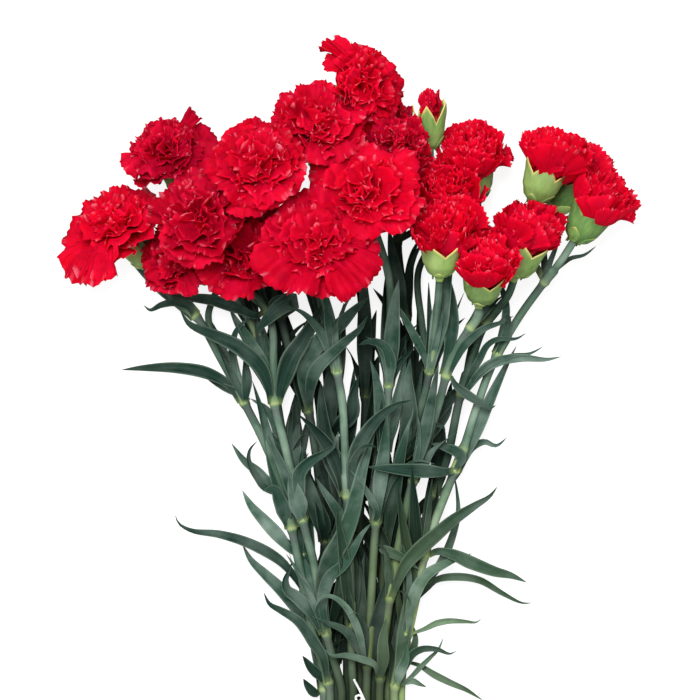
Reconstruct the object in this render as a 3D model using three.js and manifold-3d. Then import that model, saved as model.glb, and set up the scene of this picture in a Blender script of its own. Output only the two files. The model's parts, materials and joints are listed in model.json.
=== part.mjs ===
// A tied bunch of red spray carnations, lying down: thirteen stems, their heads, leaves and tie.
// Millimetres, +Z up. X runs across the bunch and the heads point towards +Y.

import * as THREE from "three";
import { mergeVertices } from "three/addons/utils/BufferGeometryUtils.js";
import Module from "manifold-3d";

const wasm = await Module();
wasm.setup();

// ---- driving dimensions ----
const GAP = 0.3; // clearance between pieces that touch
const STEM_RADIUS = 2.6;
const BRANCH_RADIUS = 2.1;
const NODE_SWELLING = 1.35; // how much thicker a stem is where its leaves grow
const NODE_HALF_LENGTH = 6;
const STEM_SIDES = 6;
const HEAD_SIDES = 8;
const LEAF_THICKNESS = 0.9;
const LEAF_CHANNEL = 0.22; // how deep a blade is folded, in half widths
const TIE_Y = -106;
const TIE_WIDTH = 6;
const TIE_THICKNESS = 1.4;
const BACK_ROW_Z = STEM_RADIUS + GAP + TIE_THICKNESS;
const FRONT_ROW_Z = BACK_ROW_Z + 5.9;
const CUT_BACK_Z = STEM_RADIUS * NODE_SWELLING;
const CUT_FRONT_Z = CUT_BACK_Z + 6.4;

const COLOURS = { petal: 0xc8001c, stem: 0x6c8a66, leaf: 0x4a6a5a, tie: 0xf2f2ee };

// ---- heads ----
// Outlines run up the axis of a head from the base of its green cup: [radius, height].
const KINDS = {
  open: {
    centre: 38,
    cup: [[3, 0], [5.6, 3.5], [7.2, 13], [7.9, 24], [7.1, 24], [6.35, 13.6], [4.75, 6.9]],
    cupFloor: 6,
    foot: [[4.4, 7.4], [5.95, 14], [6.8, 24.2]],
    footFloor: 6.4,
    crown: (r) => [[r * 0.72, 27.5], [r * 0.97, 33], [r, 38], [r * 0.86, 46], [r * 0.5, 52]],
    top: 54,
  },
  half: {
    centre: 40,
    cup: [[3, 0], [7.2, 2.5], [10.8, 9], [13.2, 22], [12.4, 22], [10, 9.6], [6.6, 5]],
    cupFloor: 4.6,
    foot: [[5.9, 5.4], [9.5, 10.2], [12, 22.2]],
    footFloor: 5,
    crown: (r) => [[r * 0.72, 27], [r * 0.93, 33], [r, 39], [r * 0.8, 43]],
    top: 44,
  },
  bud: {
    centre: 18,
    cup: [[2.8, 0], [6, 3.4], [8.6, 11], [9.8, 23], [9, 23], [7.7, 11.6], [5.2, 5.6]],
    cupFloor: 4.6,
    foot: [[4.6, 5.9], [7.2, 12], [8.6, 23.2]],
    footFloor: 5,
    crown: (r) => [[r, 29], [r * 0.7, 35]],
    top: 36,
  },
};

const HEADS = {
  bloom_01: { kind: "open", radius: 26, at: [-142.8, 186.3, 36], faces: [-0.5, 0.62, 0.6] },
  bloom_02: { kind: "open", radius: 22.5, at: [-102, 170, 44], faces: [-0.4, 0.42, 0.8] },
  bloom_03: { kind: "open", radius: 22.3, at: [-111.5, 234.5, 46], faces: [-0.2, 0.7, 0.68] },
  bloom_04: { kind: "open", radius: 26.5, at: [-92, 192, 82], faces: [-0.35, 0.5, 0.79] },
  bloom_05: { kind: "open", radius: 27, at: [-62.5, 172.5, 64], faces: [0.05, 0.45, 0.89] },
  bloom_06: { kind: "open", radius: 26, at: [-55.5, 223.5, 88], faces: [-0.05, 0.5, 0.86] },
  bloom_07: { kind: "open", radius: 27, at: [-19, 177, 92], faces: [0.02, 0.42, 0.91] },
  bloom_08: { kind: "open", radius: 26, at: [-19, 247.5, 62], faces: [0.05, 0.65, 0.76] },
  bloom_09: { kind: "open", radius: 28.5, at: [10, 208, 80], faces: [-0.1, 0.5, 0.86] },
  bloom_10: { kind: "open", radius: 24, at: [10, 270.5, 42], faces: [0.72, 0.3, 0.62] },
  bloom_11: { kind: "open", radius: 18, at: [21, 249.5, 17], faces: [0.2, 0.95, 0.24] },
  bloom_12: { kind: "half", radius: 18.7, at: [55.6, 190.6, 78], faces: [0.05, 0.86, 0.5] },
  bloom_13: { kind: "half", radius: 18, at: [55.6, 210, 52], faces: [0.1, 0.6, 0.79] },
  bloom_14: { kind: "open", radius: 19, at: [31, 235, 54], faces: [0.1, 0.5, 0.86] },
  bloom_15: { kind: "bud", radius: 5, at: [48, 249.5, 40], faces: [0, 0.97, 0.25] },
  bloom_16: { kind: "half", radius: 18.5, at: [71.3, 236.8, 34], faces: [-0.12, 0.85, 0.5] },
  bloom_17: { kind: "half", radius: 16.5, at: [82.5, 170.5, 72], faces: [0.12, 0.76, 0.64] },
  bloom_18: { kind: "half", radius: 17.4, at: [111.3, 190.6, 54], faces: [0.31, 0.88, 0.36] },
  bloom_19: { kind: "half", radius: 16.4, at: [155.4, 210.2, 48], faces: [0.53, 0.84, 0.12] },
  bloom_20: { kind: "half", radius: 19.2, at: [124.4, 236.5, 50], faces: [0.35, 0.9, 0.24] },
  bloom_21: { kind: "half", radius: 17.6, at: [145.2, 227.6, 21], faces: [0.58, 0.81, 0.08] },
};

// ---- stems ----
// Each runs from its cut end, through its place in the tie, to the head it ends in.
// nodes are the heights (Y) of its leaf joints; a branch leaves the stem at the height "from".
const STEMS = {
  stem_01: {
    row: "front", cut: [-17.5, -297], tie: -12.5, head: "bloom_01",
    route: [[-22, -63, 11], [-32, -14, 12], [-41, 27, 14], [-52, 55, 15], [-63, 77, 15],
      [-79, 107, 15], [-93, 131, 14], [-106, 141, 10]],
    nodes: [-224, -90, 4, 79, 131],
    branches: [{ from: 112, via: [[-86, 132, 8]], head: "bloom_02" }],
  },
  stem_02: {
    row: "back", cut: [-22, -292], tie: -16, head: "bloom_03",
    route: [[-22, -51, 5], [-31, -3, 5], [-39, 45, 5], [-45, 81, 5], [-52, 108, 6], [-62, 133, 7],
      [-76, 158, 9], [-88, 180, 10]],
    nodes: [-205, -95, -66, -38, -12, 22, 82, 120],
    branches: [{ from: 120, via: [[-69, 142, 15], [-74, 152, 25]], head: "bloom_04" }],
  },
  stem_03: {
    row: "front", cut: [-8.5, -300], tie: -5.5, head: "bloom_05",
    route: [[-13.5, -65, 14], [-23, -14, 18], [-28, 5, 20], [-40, 55, 21], [-45.8, 79, 22],
      [-46.5, 107, 22], [-47, 123, 21], [-51, 136, 20]],
    nodes: [-215, -60, 8, 79, 134],
    branches: [],
  },
  stem_04: {
    row: "back", cut: [-13, -296], tie: -9, head: "bloom_06",
    route: [[-11, -50, 5], [-14.7, -9.6, 7], [-21.9, 55, 11], [-25.5, 74, 12], [-34, 101, 12],
      [-42, 130, 11], [-48, 155, 12], [-53, 178, 18]],
    nodes: [-233, -78, -4, 74, 132],
    branches: [],
  },
  stem_05: {
    row: "front", cut: [0.8, -294], tie: 1.6, head: "bloom_07",
    route: [[0.9, -81, 12], [0, -30, 17], [-2, 24, 22], [-3.3, 50, 26], [-5, 80, 28], [-8, 98, 30],
      [-13, 130, 34]],
    nodes: [-228, -55, 22, 98],
    branches: [],
  },
  stem_06: {
    row: "back", cut: [-4, -298], tie: -2, head: "bloom_08",
    route: [[-3, -40, 5], [-9, 24, 8], [-12, 60, 9], [-15, 103, 10], [-22, 150, 12],
      [-24, 185, 14]],
    nodes: [-206, -40, 12, 60, 128],
    branches: [],
  },
  stem_07: {
    row: "front", cut: [10.2, -299], tie: 9.6, head: "bloom_09",
    route: [[12.3, -44, 14], [15.3, 6, 18], [20.7, 50, 22], [23, 90, 24], [24, 123, 25],
      [23, 155, 26]],
    nodes: [-201, -80, 6, 50, 90],
    branches: [],
  },
  stem_08: {
    row: "back", cut: [5.5, -293], tie: 5.6, head: "bloom_10",
    route: [[5, -40, 5], [6, 20, 6], [9, 80, 7], [8, 140, 7], [2, 190, 7], [-7, 225, 6],
      [-17, 250, 6]],
    nodes: [-219, -62, 20, 84, 140],
    branches: [{ from: 178, via: [[6, 200, 5]], head: "bloom_11" }],
  },
  stem_09: {
    row: "back", cut: [15, -297], tie: 13.6, head: "bloom_12",
    route: [[17, -60, 6], [21, -10, 9], [27, 36, 13], [37, 59, 17], [47.7, 98, 24], [51, 122, 35]],
    nodes: [-229, -68, -10, 46, 98],
    branches: [{ from: 98, via: [[43, 128, 17], [41, 158, 9]], head: "bloom_13" }],
  },
  stem_10: {
    row: "back", cut: [24.5, -295], tie: 22, head: "bloom_14",
    route: [[24, -40, 5], [30, 20, 5], [37, 80, 6], [34, 130, 6], [29, 170, 5], [28, 195, 6]],
    nodes: [-210, -48, 20, 76, 130, 178],
    branches: [
      { from: 178, via: [[43, 206, 18]], head: "bloom_15" },
      { from: 178, via: [[50, 188, 5], [73, 190, 4]], head: "bloom_16" },
    ],
  },
  stem_11: {
    row: "front", cut: [19.7, -296], tie: 17.6, head: "bloom_17",
    route: [[21, -60, 13], [25.5, -28, 16], [32, 8, 19], [38, 33, 22], [44.7, 53, 25], [53, 78, 30],
      [58.5, 98, 33], [67, 117, 35]],
    nodes: [-205, -88, -38, 32, 96, 124],
    branches: [],
  },
  stem_12: {
    row: "back", cut: [34, -299], tie: 30.6, head: "bloom_18",
    route: [[34, -60, 5], [40, -20, 8], [44.7, 3, 10], [51, 25, 12], [58.5, 46, 14], [66, 82, 18],
      [74.7, 110, 20], [80, 124, 20], [87, 134, 22]],
    nodes: [-215, -78, -40, 24, 84, 126],
    branches: [],
  },
  stem_13: {
    row: "front", cut: [29.5, -293], tie: 26.5, head: "bloom_19",
    route: [[33.5, -65, 12], [40, -34, 15], [47.7, -2, 18], [59.7, 30, 20], [68, 51, 21],
      [75, 73, 21], [83, 96, 22], [90.5, 112, 22], [102.5, 132, 20], [114, 148, 21]],
    nodes: [-233, -92, -60, -12, 38, 108, 152],
    branches: [
      { from: 152, via: [[108, 170, 10], [103, 180, 13]], head: "bloom_20" },
      { from: 152, via: [[117, 168, 8]], head: "bloom_21" },
    ],
  },
};

// ---- leaves ----
// Each grows from a stem at the height "from", on its side, and follows a route to its tip.
const LEAVES = {
  leaf_01: { on: "stem_01", from: 79, side: [-1, 0, 0.4], width: 8,
    route: [[-74, 90, 18], [-86.5, 97, 21], [-104, 100, 20], [-124, 100, 14], [-138.5, 99, 10]] },
  leaf_02: { on: "stem_01", from: 131, side: [-0.8, 0, 1], width: 5,
    route: [[-98, 137, 20], [-106, 139.5, 22], [-114, 138, 21], [-121, 135, 18], [-125, 138, 17]] },
  leaf_03: { on: "stem_03", from: 79, side: [-1, 0, 0.6], width: 10,
    route: [[-50, 90, 28], [-54, 100, 31], [-66.5, 112, 33], [-85, 121, 32], [-97, 126.5, 30],
      [-102.5, 134.5, 28]] },
  leaf_04: { on: "stem_02", from: 22, side: [-1, 0, 0.1], width: 6.5,
    route: [[-50, 31, 7], [-56.5, 38, 8], [-64, 44, 8], [-72, 54.5, 7]] },
  leaf_05: { on: "stem_02", from: -12, side: [-1, 0, 0.1], width: 8.5,
    route: [[-36.5, -10, 6], [-44, -1, 9], [-52, 7.5, 11], [-60, 16.5, 11], [-65.5, 26, 9]] },
  leaf_06: { on: "stem_02", from: -38, side: [-1, 0, 0.1], width: 7,
    route: [[-33, -28, 7], [-43, -16, 13], [-61, -6, 17], [-79, -0.7, 15], [-96, 1.5, 11],
      [-104, 6, 9], [-106, 11, 8]] },
  leaf_07: { on: "stem_02", from: -66, side: [-1, 0, 0.1], width: 8.5,
    route: [[-27.5, -54, 5.5], [-33.5, -44, 6], [-42.5, -33.5, 7], [-51.5, -25, 7], [-60.5, -16, 6],
      [-65.5, -6.5, 5]] },
  leaf_08: { on: "stem_01", from: -90, side: [-0.3, 0, 1], width: 7.5,
    route: [[-16.5, -75, 19], [-21, -67.5, 21], [-31.5, -53, 22], [-42, -46.5, 20],
      [-49, -42.5, 17], [-52.5, -35.5, 14]] },
  leaf_09: { on: "stem_03", from: 79, side: [1, 0, 0.6], width: 12.5,
    route: [[-40, 93, 28], [-36, 106, 30], [-29, 117, 31], [-22.5, 128, 31], [-17, 138.5, 29]] },
  leaf_10: { on: "stem_04", from: 74, side: [0.6, 0, 1], width: 8.5,
    route: [[-24, 90, 24], [-20, 100, 31], [-12, 108, 36], [-3, 116, 39], [5, 123, 39],
      [10.5, 131.5, 38]] },
  leaf_11: { on: "stem_03", from: 134, side: [0.5, 0, 1], width: 7,
    route: [[-46, 139, 26], [-40, 142.5, 28], [-33, 145, 28]] },
  leaf_12: { on: "stem_05", from: 22, side: [0.6, 0, 0.8], width: 10,
    route: [[3, 48, 31], [9, 61, 33], [17, 71, 34], [27, 78, 34], [37, 81, 31]] },
  leaf_13: { on: "stem_03", from: -60, side: [0.5, 0, 1], width: 8,
    route: [[-17, -42, 20], [-12.5, -26, 23], [-4.5, -19, 25], [1, -11, 26], [7, 0, 27],
      [13, 7, 27]] },
  leaf_14: { on: "stem_07", from: -80, side: [-0.3, 0, 1], width: 5,
    route: [[7.5, -70, 20], [5.5, -61, 24], [2, -52, 27], [-3, -44, 29], [-9.5, -38.5, 29],
      [-15.5, -37.5, 28], [-19.5, -41, 25], [-22, -47, 22]] },
  leaf_15: { on: "stem_11", from: -88, side: [0, 0, 1], width: 8,
    route: [[19.5, -76, 20], [19.5, -64, 22], [21.5, -51, 22]] },
  leaf_16: { on: "stem_13", from: 38, side: [-0.3, 0, 1], width: 9,
    route: [[56, 37.5, 27], [47, 38, 30], [35, 38.5, 31], [22, 39.5, 31], [10.5, 40.5, 30]] },
  leaf_17: { on: "stem_11", from: 96, side: [0.6, 0, 0.8], width: 5.5,
    route: [[63, 104, 39.5], [67, 112, 40.5], [73.5, 119, 38.5], [81, 124.5, 36], [90, 127.5, 34],
      [98, 131.5, 32]] },
  leaf_18: { on: "stem_12", from: 84, side: [0.5, 0, 1], width: 6.5,
    route: [[72, 89, 26], [77, 96, 29], [83, 101.5, 31], [91, 105, 32], [104, 106.5, 31],
      [118, 105.5, 28], [127, 107, 26]] },
  leaf_19: { on: "stem_11", from: 96, side: [1, 0, 0.3], width: 6,
    route: [[63.5, 90, 34], [67, 86.5, 34], [72.5, 82.5, 33], [79, 78.5, 31], [84, 76, 29],
      [87.5, 77.5, 28]] },
  leaf_20: { on: "stem_12", from: 24, side: [1, 0, -0.3], width: 6.5,
    route: [[58, 28, 11], [63, 35.5, 12], [67.5, 45, 13], [73, 52.5, 14], [81, 56, 14],
      [88, 53.5, 13], [94.5, 58, 11]] },
  leaf_21: { on: "stem_11", from: -38, side: [0.3, 0, 1], width: 9.5,
    route: [[33, -19, 25], [42, -8.5, 27], [51, -0.5, 28], [62, 9, 29], [75, 17.5, 27],
      [84, 23, 25], [88.5, 28.5, 23]] },
  leaf_22: { on: "stem_13", from: -12, side: [1, 0, 0.3], width: 8.5,
    route: [[53, -10.5, 21], [61, -12, 22], [73, -17.5, 20], [87, -23, 17], [97, -25.5, 13],
      [106.5, -29.5, 9]] },
  leaf_23: { on: "stem_12", from: -40, side: [1, 0, 0], width: 5,
    route: [[47, -33, 9], [52, -28, 10], [64, -26, 12], [78, -28, 11], [92, -36, 9], [104, -42, 7],
      [110, -42, 6]] },
  leaf_24: { on: "stem_13", from: -60, side: [1, 0, 0.3], width: 4,
    route: [[45, -57.5, 15], [52, -54, 16], [60, -52.5, 16], [70, -53, 13], [76, -53.5, 12],
      [79, -51.5, 11]] },
  leaf_25: { on: "stem_12", from: -78, side: [1, 0, 0], width: 4.5,
    route: [[42, -80, 6], [50, -85, 7], [60, -90, 7], [70, -94.5, 6], [80, -101, 4]] },
};

// ---- geometry helpers ----
const vector = (xyz) => new THREE.Vector3(...xyz);

// A closed geometry becomes a solid once its shared corners are one vertex.
const solidOf = (geometry) => {
  const bare = geometry.clone();
  bare.deleteAttribute("normal");
  bare.deleteAttribute("uv");
  const merged = mergeVertices(bare, 1e-4);
  const corners = merged.index.array;
  const triangles = [];
  for (let i = 0; i < corners.length; i += 3) {
    const [a, b, c] = corners.slice(i, i + 3);
    if (a !== b && b !== c && c !== a) triangles.push(a, b, c);
  }
  return new wasm.Manifold(new wasm.Mesh({
    numProp: 3,
    vertProperties: merged.attributes.position.array,
    triVerts: new Uint32Array(triangles),
  }));
};

const geometryOf = (solid) => {
  const { vertProperties, triVerts } = solid.getMesh();
  const geometry = new THREE.BufferGeometry();
  geometry.setAttribute("position", new THREE.BufferAttribute(vertProperties, 3));
  geometry.setIndex(new THREE.BufferAttribute(triVerts, 1));
  geometry.computeVertexNormals();
  return geometry;
};

const largestPiece = (solid) => {
  const pieces = solid.decompose();
  return pieces.reduce((best, piece) => (piece.volume() > best.volume() ? piece : best));
};

const boxesMeet = (a, b) => {
  const p = a.boundingBox();
  const q = b.boundingBox();
  return [0, 1, 2].every((i) => p.min[i] < q.max[i] && q.min[i] < p.max[i]);
};

// Takes away what a neighbour, grown by the gap, needs, and keeps the main piece.
const clearOf = (solid, neighbours) => {
  let result = solid;
  for (const neighbour of neighbours) {
    if (boxesMeet(result, neighbour)) result = result.subtract(neighbour);
  }
  return largestPiece(result);
};

// A length of stem: a cylinder bent along a curve, with its radius given at each station.
const bentCylinder = (curve, stations, radiusAt) => {
  const steps = stations.length - 1;
  const geometry = new THREE.CylinderGeometry(1, 1, 1, STEM_SIDES, steps);
  const frames = [];
  let side = new THREE.Vector3(1, 0, 0);
  for (const u of stations) {
    const along = curve.getTangentAt(u);
    side = side.clone().addScaledVector(along, -side.dot(along)).normalize();
    frames.push({
      at: curve.getPointAt(u), side, other: side.clone().cross(along), radius: radiusAt(u),
    });
  }
  const position = geometry.attributes.position;
  for (let i = 0; i < position.count; i += 1) {
    const { at, side: x, other: z, radius } = frames[Math.round((position.getY(i) + 0.5) * steps)];
    const place = at.clone()
      .addScaledVector(x, position.getX(i) * radius)
      .addScaledVector(z, position.getZ(i) * radius);
    position.setXYZ(i, ...place.toArray());
  }
  return geometry;
};

// A turned piece whose axis starts at a point and runs along a direction.
const turned = (outline, base, faces) => {
  const geometry = new THREE.LatheGeometry(outline.map((p) => new THREE.Vector2(...p)), HEAD_SIDES);
  geometry.applyQuaternion(new THREE.Quaternion().setFromUnitVectors(new THREE.Vector3(0, 1, 0), faces));
  geometry.translate(...base.toArray());
  return geometry;
};

// ---- heads ----
for (const head of Object.values(HEADS)) {
  head.axis = vector(head.faces).normalize();
  head.base = vector(head.at).addScaledVector(head.axis, -KINDS[head.kind].centre);
}

const grownOutline = (points, floor, top, grow) => [
  [0, floor - grow],
  ...points.map(([radius, height], i) => [radius + grow, i === 0 ? height - grow : height]),
  [0, top + grow],
];

const cupSolid = ({ kind, base, axis }) => {
  const { cup, cupFloor } = KINDS[kind];
  return solidOf(turned([[0, 0], ...cup, [0, cupFloor]], base, axis));
};

const grownCup = ({ kind, base, axis }, grow) => {
  const outer = KINDS[kind].cup.slice(0, 4);
  return solidOf(turned(grownOutline(outer, 0, outer[3][1], grow), base, axis));
};

const bloomSolid = ({ kind, radius, base, axis }, grow) => {
  const { foot, footFloor, crown, top } = KINDS[kind];
  return solidOf(turned(grownOutline([...foot, ...crown(radius)], footFloor, top, grow), base, axis));
};

// ---- stems ----
const APPROACH = 13; // a stem runs straight into its cup over this length

const curveTo = (points, head) => new THREE.CatmullRomCurve3([
  ...points,
  head.base.clone().addScaledVector(head.axis, -APPROACH),
  head.base.clone().addScaledVector(head.axis, 1),
], false, "centripetal");

const mainCurve = ({ row, cut, tie, route, head }) => {
  const tieZ = row === "front" ? FRONT_ROW_Z : BACK_ROW_Z;
  const cutZ = row === "front" ? CUT_FRONT_Z : CUT_BACK_Z;
  return curveTo([
    vector([cut[0], cut[1], cutZ]),
    vector([tie, TIE_Y - 14, tieZ]),
    vector([tie, TIE_Y, tieZ]),
    vector([tie, TIE_Y + 12, tieZ]),
    ...route.map(vector),
  ], HEADS[head]);
};

const parameterAt = (curve, y) => {
  let low = 0;
  let high = 1;
  while (high - low > 1e-4) {
    const middle = (low + high) / 2;
    if (curve.getPointAt(middle).y < y) low = middle;
    else high = middle;
  }
  return low;
};

const STATION_STEP = 34;

const stemPieces = (stem, grow) => {
  const curve = stem.curve;
  const length = curve.getLength();
  const joints = stem.nodes.map((y) => parameterAt(curve, y));
  const reach = NODE_HALF_LENGTH / length;
  const stations = joints.flatMap((u) => [u - reach, u, u + reach]);
  const count = Math.round(length / STATION_STEP);
  for (let i = 0; i <= count; i += 1) {
    const u = i / count;
    if (u === 0 || u === 1 || stations.every((s) => Math.abs(s - u) > reach)) stations.push(u);
  }
  stations.sort((a, b) => a - b);
  const radiusAt = (u) => {
    const nearest = Math.min(...joints.map((joint) => Math.abs(joint - u)));
    return (nearest < reach / 2 ? STEM_RADIUS * NODE_SWELLING : STEM_RADIUS) + grow;
  };
  const pieces = [solidOf(bentCylinder(curve, stations, radiusAt))];
  for (const branch of stem.branches) {
    const steps = Math.max(4, Math.round(branch.curve.getLength() / 9));
    const even = Array.from({ length: steps + 1 }, (_, i) => i / steps);
    pieces.push(solidOf(bentCylinder(branch.curve, even, () => BRANCH_RADIUS + grow)));
  }
  return pieces;
};

for (const stem of Object.values(STEMS)) {
  stem.curve = mainCurve(stem);
  stem.heads = [stem.head, ...stem.branches.map((branch) => branch.head)];
  for (const branch of stem.branches) {
    const fork = stem.curve.getPointAt(parameterAt(stem.curve, branch.from));
    branch.curve = curveTo([fork, ...branch.via.map(vector)], HEADS[branch.head]);
  }
}

const joined = (solids) => solids.reduce((whole, solid) => whole.add(solid));

// A stem grown by the gap, for cutting its neighbours; a bloom's own cup already clears it.
const grownStem = (stem, ownBloom) => joined([
  ...stemPieces(stem, GAP),
  ...stem.heads.filter((head) => head !== ownBloom).map((head) => grownCup(HEADS[head], GAP)),
]);

// ---- leaves ----
const bladeWidth = (t) => (
  (0.42 + 0.58 * THREE.MathUtils.smoothstep(t, 0, 0.42)) * (1 - t ** 3) ** 0.95 + 0.05
);

const leafSolid = ({ on, from, side, width, route }, grow) => {
  const stem = STEMS[on];
  const foot = stem.curve.getPointAt(parameterAt(stem.curve, from));
  const out = vector(side).normalize();
  const seat = STEM_RADIUS * NODE_SWELLING + GAP + LEAF_THICKNESS / 2;
  const curve = new THREE.CatmullRomCurve3([
    foot.clone().addScaledVector(out, seat),
    ...route.map(vector),
  ], false, "centripetal");
  const steps = Math.min(12, 4 + 2 * route.length);
  const geometry = new THREE.BoxGeometry(1, 1, 1, 2, steps, 1);
  const position = geometry.attributes.position;
  const up = new THREE.Vector3(0, 0, 1);
  for (let i = 0; i < position.count; i += 1) {
    const t = position.getY(i) + 0.5;
    const along = curve.getTangentAt(t);
    const across = along.clone().cross(up).normalize();
    const face = across.clone().cross(along);
    const x = position.getX(i);
    const half = bladeWidth(t) * width;
    const rise = Math.abs(x) * half * LEAF_CHANNEL + position.getZ(i) * (LEAF_THICKNESS + 2 * grow);
    const place = curve.getPointAt(t)
      .addScaledVector(across, x * (half + 2 * grow))
      .addScaledVector(face, rise);
    position.setXYZ(i, ...place.toArray());
  }
  return solidOf(geometry);
};

// ---- tie ----
// A flat band with round corners, which hugs the two rows of stems.
const roundedOblong = (left, right, bottom, top, radius) => {
  const shape = new THREE.Shape();
  shape.absarc(right - radius, bottom + radius, radius, -Math.PI / 2, 0);
  shape.absarc(right - radius, top - radius, radius, 0, Math.PI / 2);
  shape.absarc(left + radius, top - radius, radius, Math.PI / 2, Math.PI);
  shape.absarc(left + radius, bottom + radius, radius, Math.PI, 1.5 * Math.PI);
  return shape;
};

const tieSolid = () => {
  const places = Object.values(STEMS).map((stem) => stem.tie);
  const inner = STEM_RADIUS + GAP;
  const outer = inner + TIE_THICKNESS;
  const oblong = (reach) => roundedOblong(
    Math.min(...places) - reach, Math.max(...places) + reach,
    BACK_ROW_Z - reach, FRONT_ROW_Z + reach, reach,
  );
  const shape = oblong(outer);
  shape.holes.push(oblong(inner));
  const band = new THREE.ExtrudeGeometry(shape, {
    depth: TIE_WIDTH, bevelEnabled: false, curveSegments: 3,
  });
  band.rotateX(Math.PI / 2);
  band.translate(0, TIE_Y + TIE_WIDTH / 2, 0);
  return solidOf(band);
};

// ---- assembly ----
const surface = solidOf(new THREE.BoxGeometry(800, 1200, 100).translate(0, 0, -50));

const solids = {};
const grown = {};
for (const [name, stem] of Object.entries(STEMS)) {
  const cups = stem.heads.map((head) => cupSolid(HEADS[head]));
  solids[name] = joined([...stemPieces(stem, 0), ...cups]);
  grown[name] = grownStem(stem);
}
solids.tie = tieSolid();
for (const [name, head] of Object.entries(HEADS)) {
  const neighbours = Object.keys(grown).map((other) => (
    STEMS[other]?.heads.includes(name) ? grownStem(STEMS[other], name) : grown[other]
  ));
  solids[name] = clearOf(bloomSolid(head, 0), [surface, ...neighbours]);
  grown[name] = bloomSolid(head, GAP);
}
for (const [name, leaf] of Object.entries(LEAVES)) {
  solids[name] = clearOf(leafSolid(leaf, 0), [surface, ...Object.values(grown)]);
  grown[name] = leafSolid(leaf, GAP);
}

const materialFor = (name) => new THREE.MeshStandardMaterial({
  color: COLOURS[{ bloom: "petal", stem: "stem", leaf: "leaf", tie: "tie" }[name.split("_")[0]]],
  roughness: name.startsWith("bloom") ? 0.75 : 0.6,
  metalness: 0,
});

const group = new THREE.Group();
for (const [name, solid] of Object.entries(solids)) {
  const mesh = new THREE.Mesh(geometryOf(solid), materialFor(name));
  mesh.name = name;
  group.add(mesh);
}

// The origin is under the middle of the bunch, on the surface that it lies on.
const box = new THREE.Box3().setFromObject(group);
const middle = box.getCenter(new THREE.Vector3());
group.position.set(-middle.x, -middle.y, -box.min.z);

export default group;
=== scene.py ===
"""A tied bunch of red spray carnations, lying on a pale surface and seen from above.

The tables hold the bunch's plan in millimetres, as it lies: X across it, Y towards the
heads, Z up. Everything made from them is in metres, in the frame of the loaded pieces.
"""

import json
import math

import bpy
import numpy as np
from mathutils import Matrix, Vector

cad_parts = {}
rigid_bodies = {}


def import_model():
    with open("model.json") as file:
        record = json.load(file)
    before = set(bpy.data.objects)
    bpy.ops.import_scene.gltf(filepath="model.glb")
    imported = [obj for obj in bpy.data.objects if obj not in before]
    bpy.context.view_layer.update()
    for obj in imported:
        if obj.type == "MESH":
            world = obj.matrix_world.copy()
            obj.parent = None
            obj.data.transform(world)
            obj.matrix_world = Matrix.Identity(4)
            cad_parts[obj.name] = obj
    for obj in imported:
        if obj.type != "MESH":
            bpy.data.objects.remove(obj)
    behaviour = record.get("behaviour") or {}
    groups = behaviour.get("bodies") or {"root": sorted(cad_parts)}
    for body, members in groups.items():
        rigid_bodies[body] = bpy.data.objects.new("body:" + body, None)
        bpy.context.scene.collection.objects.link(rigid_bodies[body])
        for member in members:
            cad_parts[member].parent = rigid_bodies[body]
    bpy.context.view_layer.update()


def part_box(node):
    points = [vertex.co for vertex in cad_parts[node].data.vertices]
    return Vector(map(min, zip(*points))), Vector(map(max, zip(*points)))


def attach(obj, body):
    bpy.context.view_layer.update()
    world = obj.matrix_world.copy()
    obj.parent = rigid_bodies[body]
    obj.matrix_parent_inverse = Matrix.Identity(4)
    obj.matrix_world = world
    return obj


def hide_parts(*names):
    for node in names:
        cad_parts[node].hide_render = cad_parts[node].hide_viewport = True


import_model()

MM = 0.001
GOLDEN_ANGLE = math.pi * (3 - 5**0.5)

# ---- driving dimensions, in millimetres ----
STEM_RADIUS = 2.6
BRANCH_RADIUS = 2.1
JOINT_RADIUS = 3.5
JOINT_HALF_LENGTH = 2.4
SHEATH_LENGTH = 13
SHEATH_RADIUS = 3.2
# The long pale sheaths: the head at the stem's end, the joint's height and the sheath's length.
LONG_SHEATHS = {
    ("bloom_17", -38): 26, ("bloom_19", -60): 28, ("bloom_09", -80): 24, ("bloom_06", -78): 20,
    ("bloom_19", 38): 16, ("bloom_12", 98): 15,
}
TIE_Y = -106
TIE_THICKNESS = 1.4
GAP = 0.3
# The stems cross the tie in a back row and a front row, and spread a little towards their cut ends.
TIE_ROW_RISE = 5.9
BACK_ROW_Z = STEM_RADIUS + GAP + TIE_THICKNESS
FRONT_ROW_Z = BACK_ROW_Z + TIE_ROW_RISE
CUT_ROW_RISE = 6.4
CUT_BACK_Z = 3.51
CUT_FRONT_Z = CUT_BACK_Z + CUT_ROW_RISE
# How far before its cup a stem is already in line with it.
APPROACH = 13
COURSE_STEP = 0.0018  # metres between two places along a stem
CURVE_SAMPLES = 24
STEM_SIDES = 14

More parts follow.
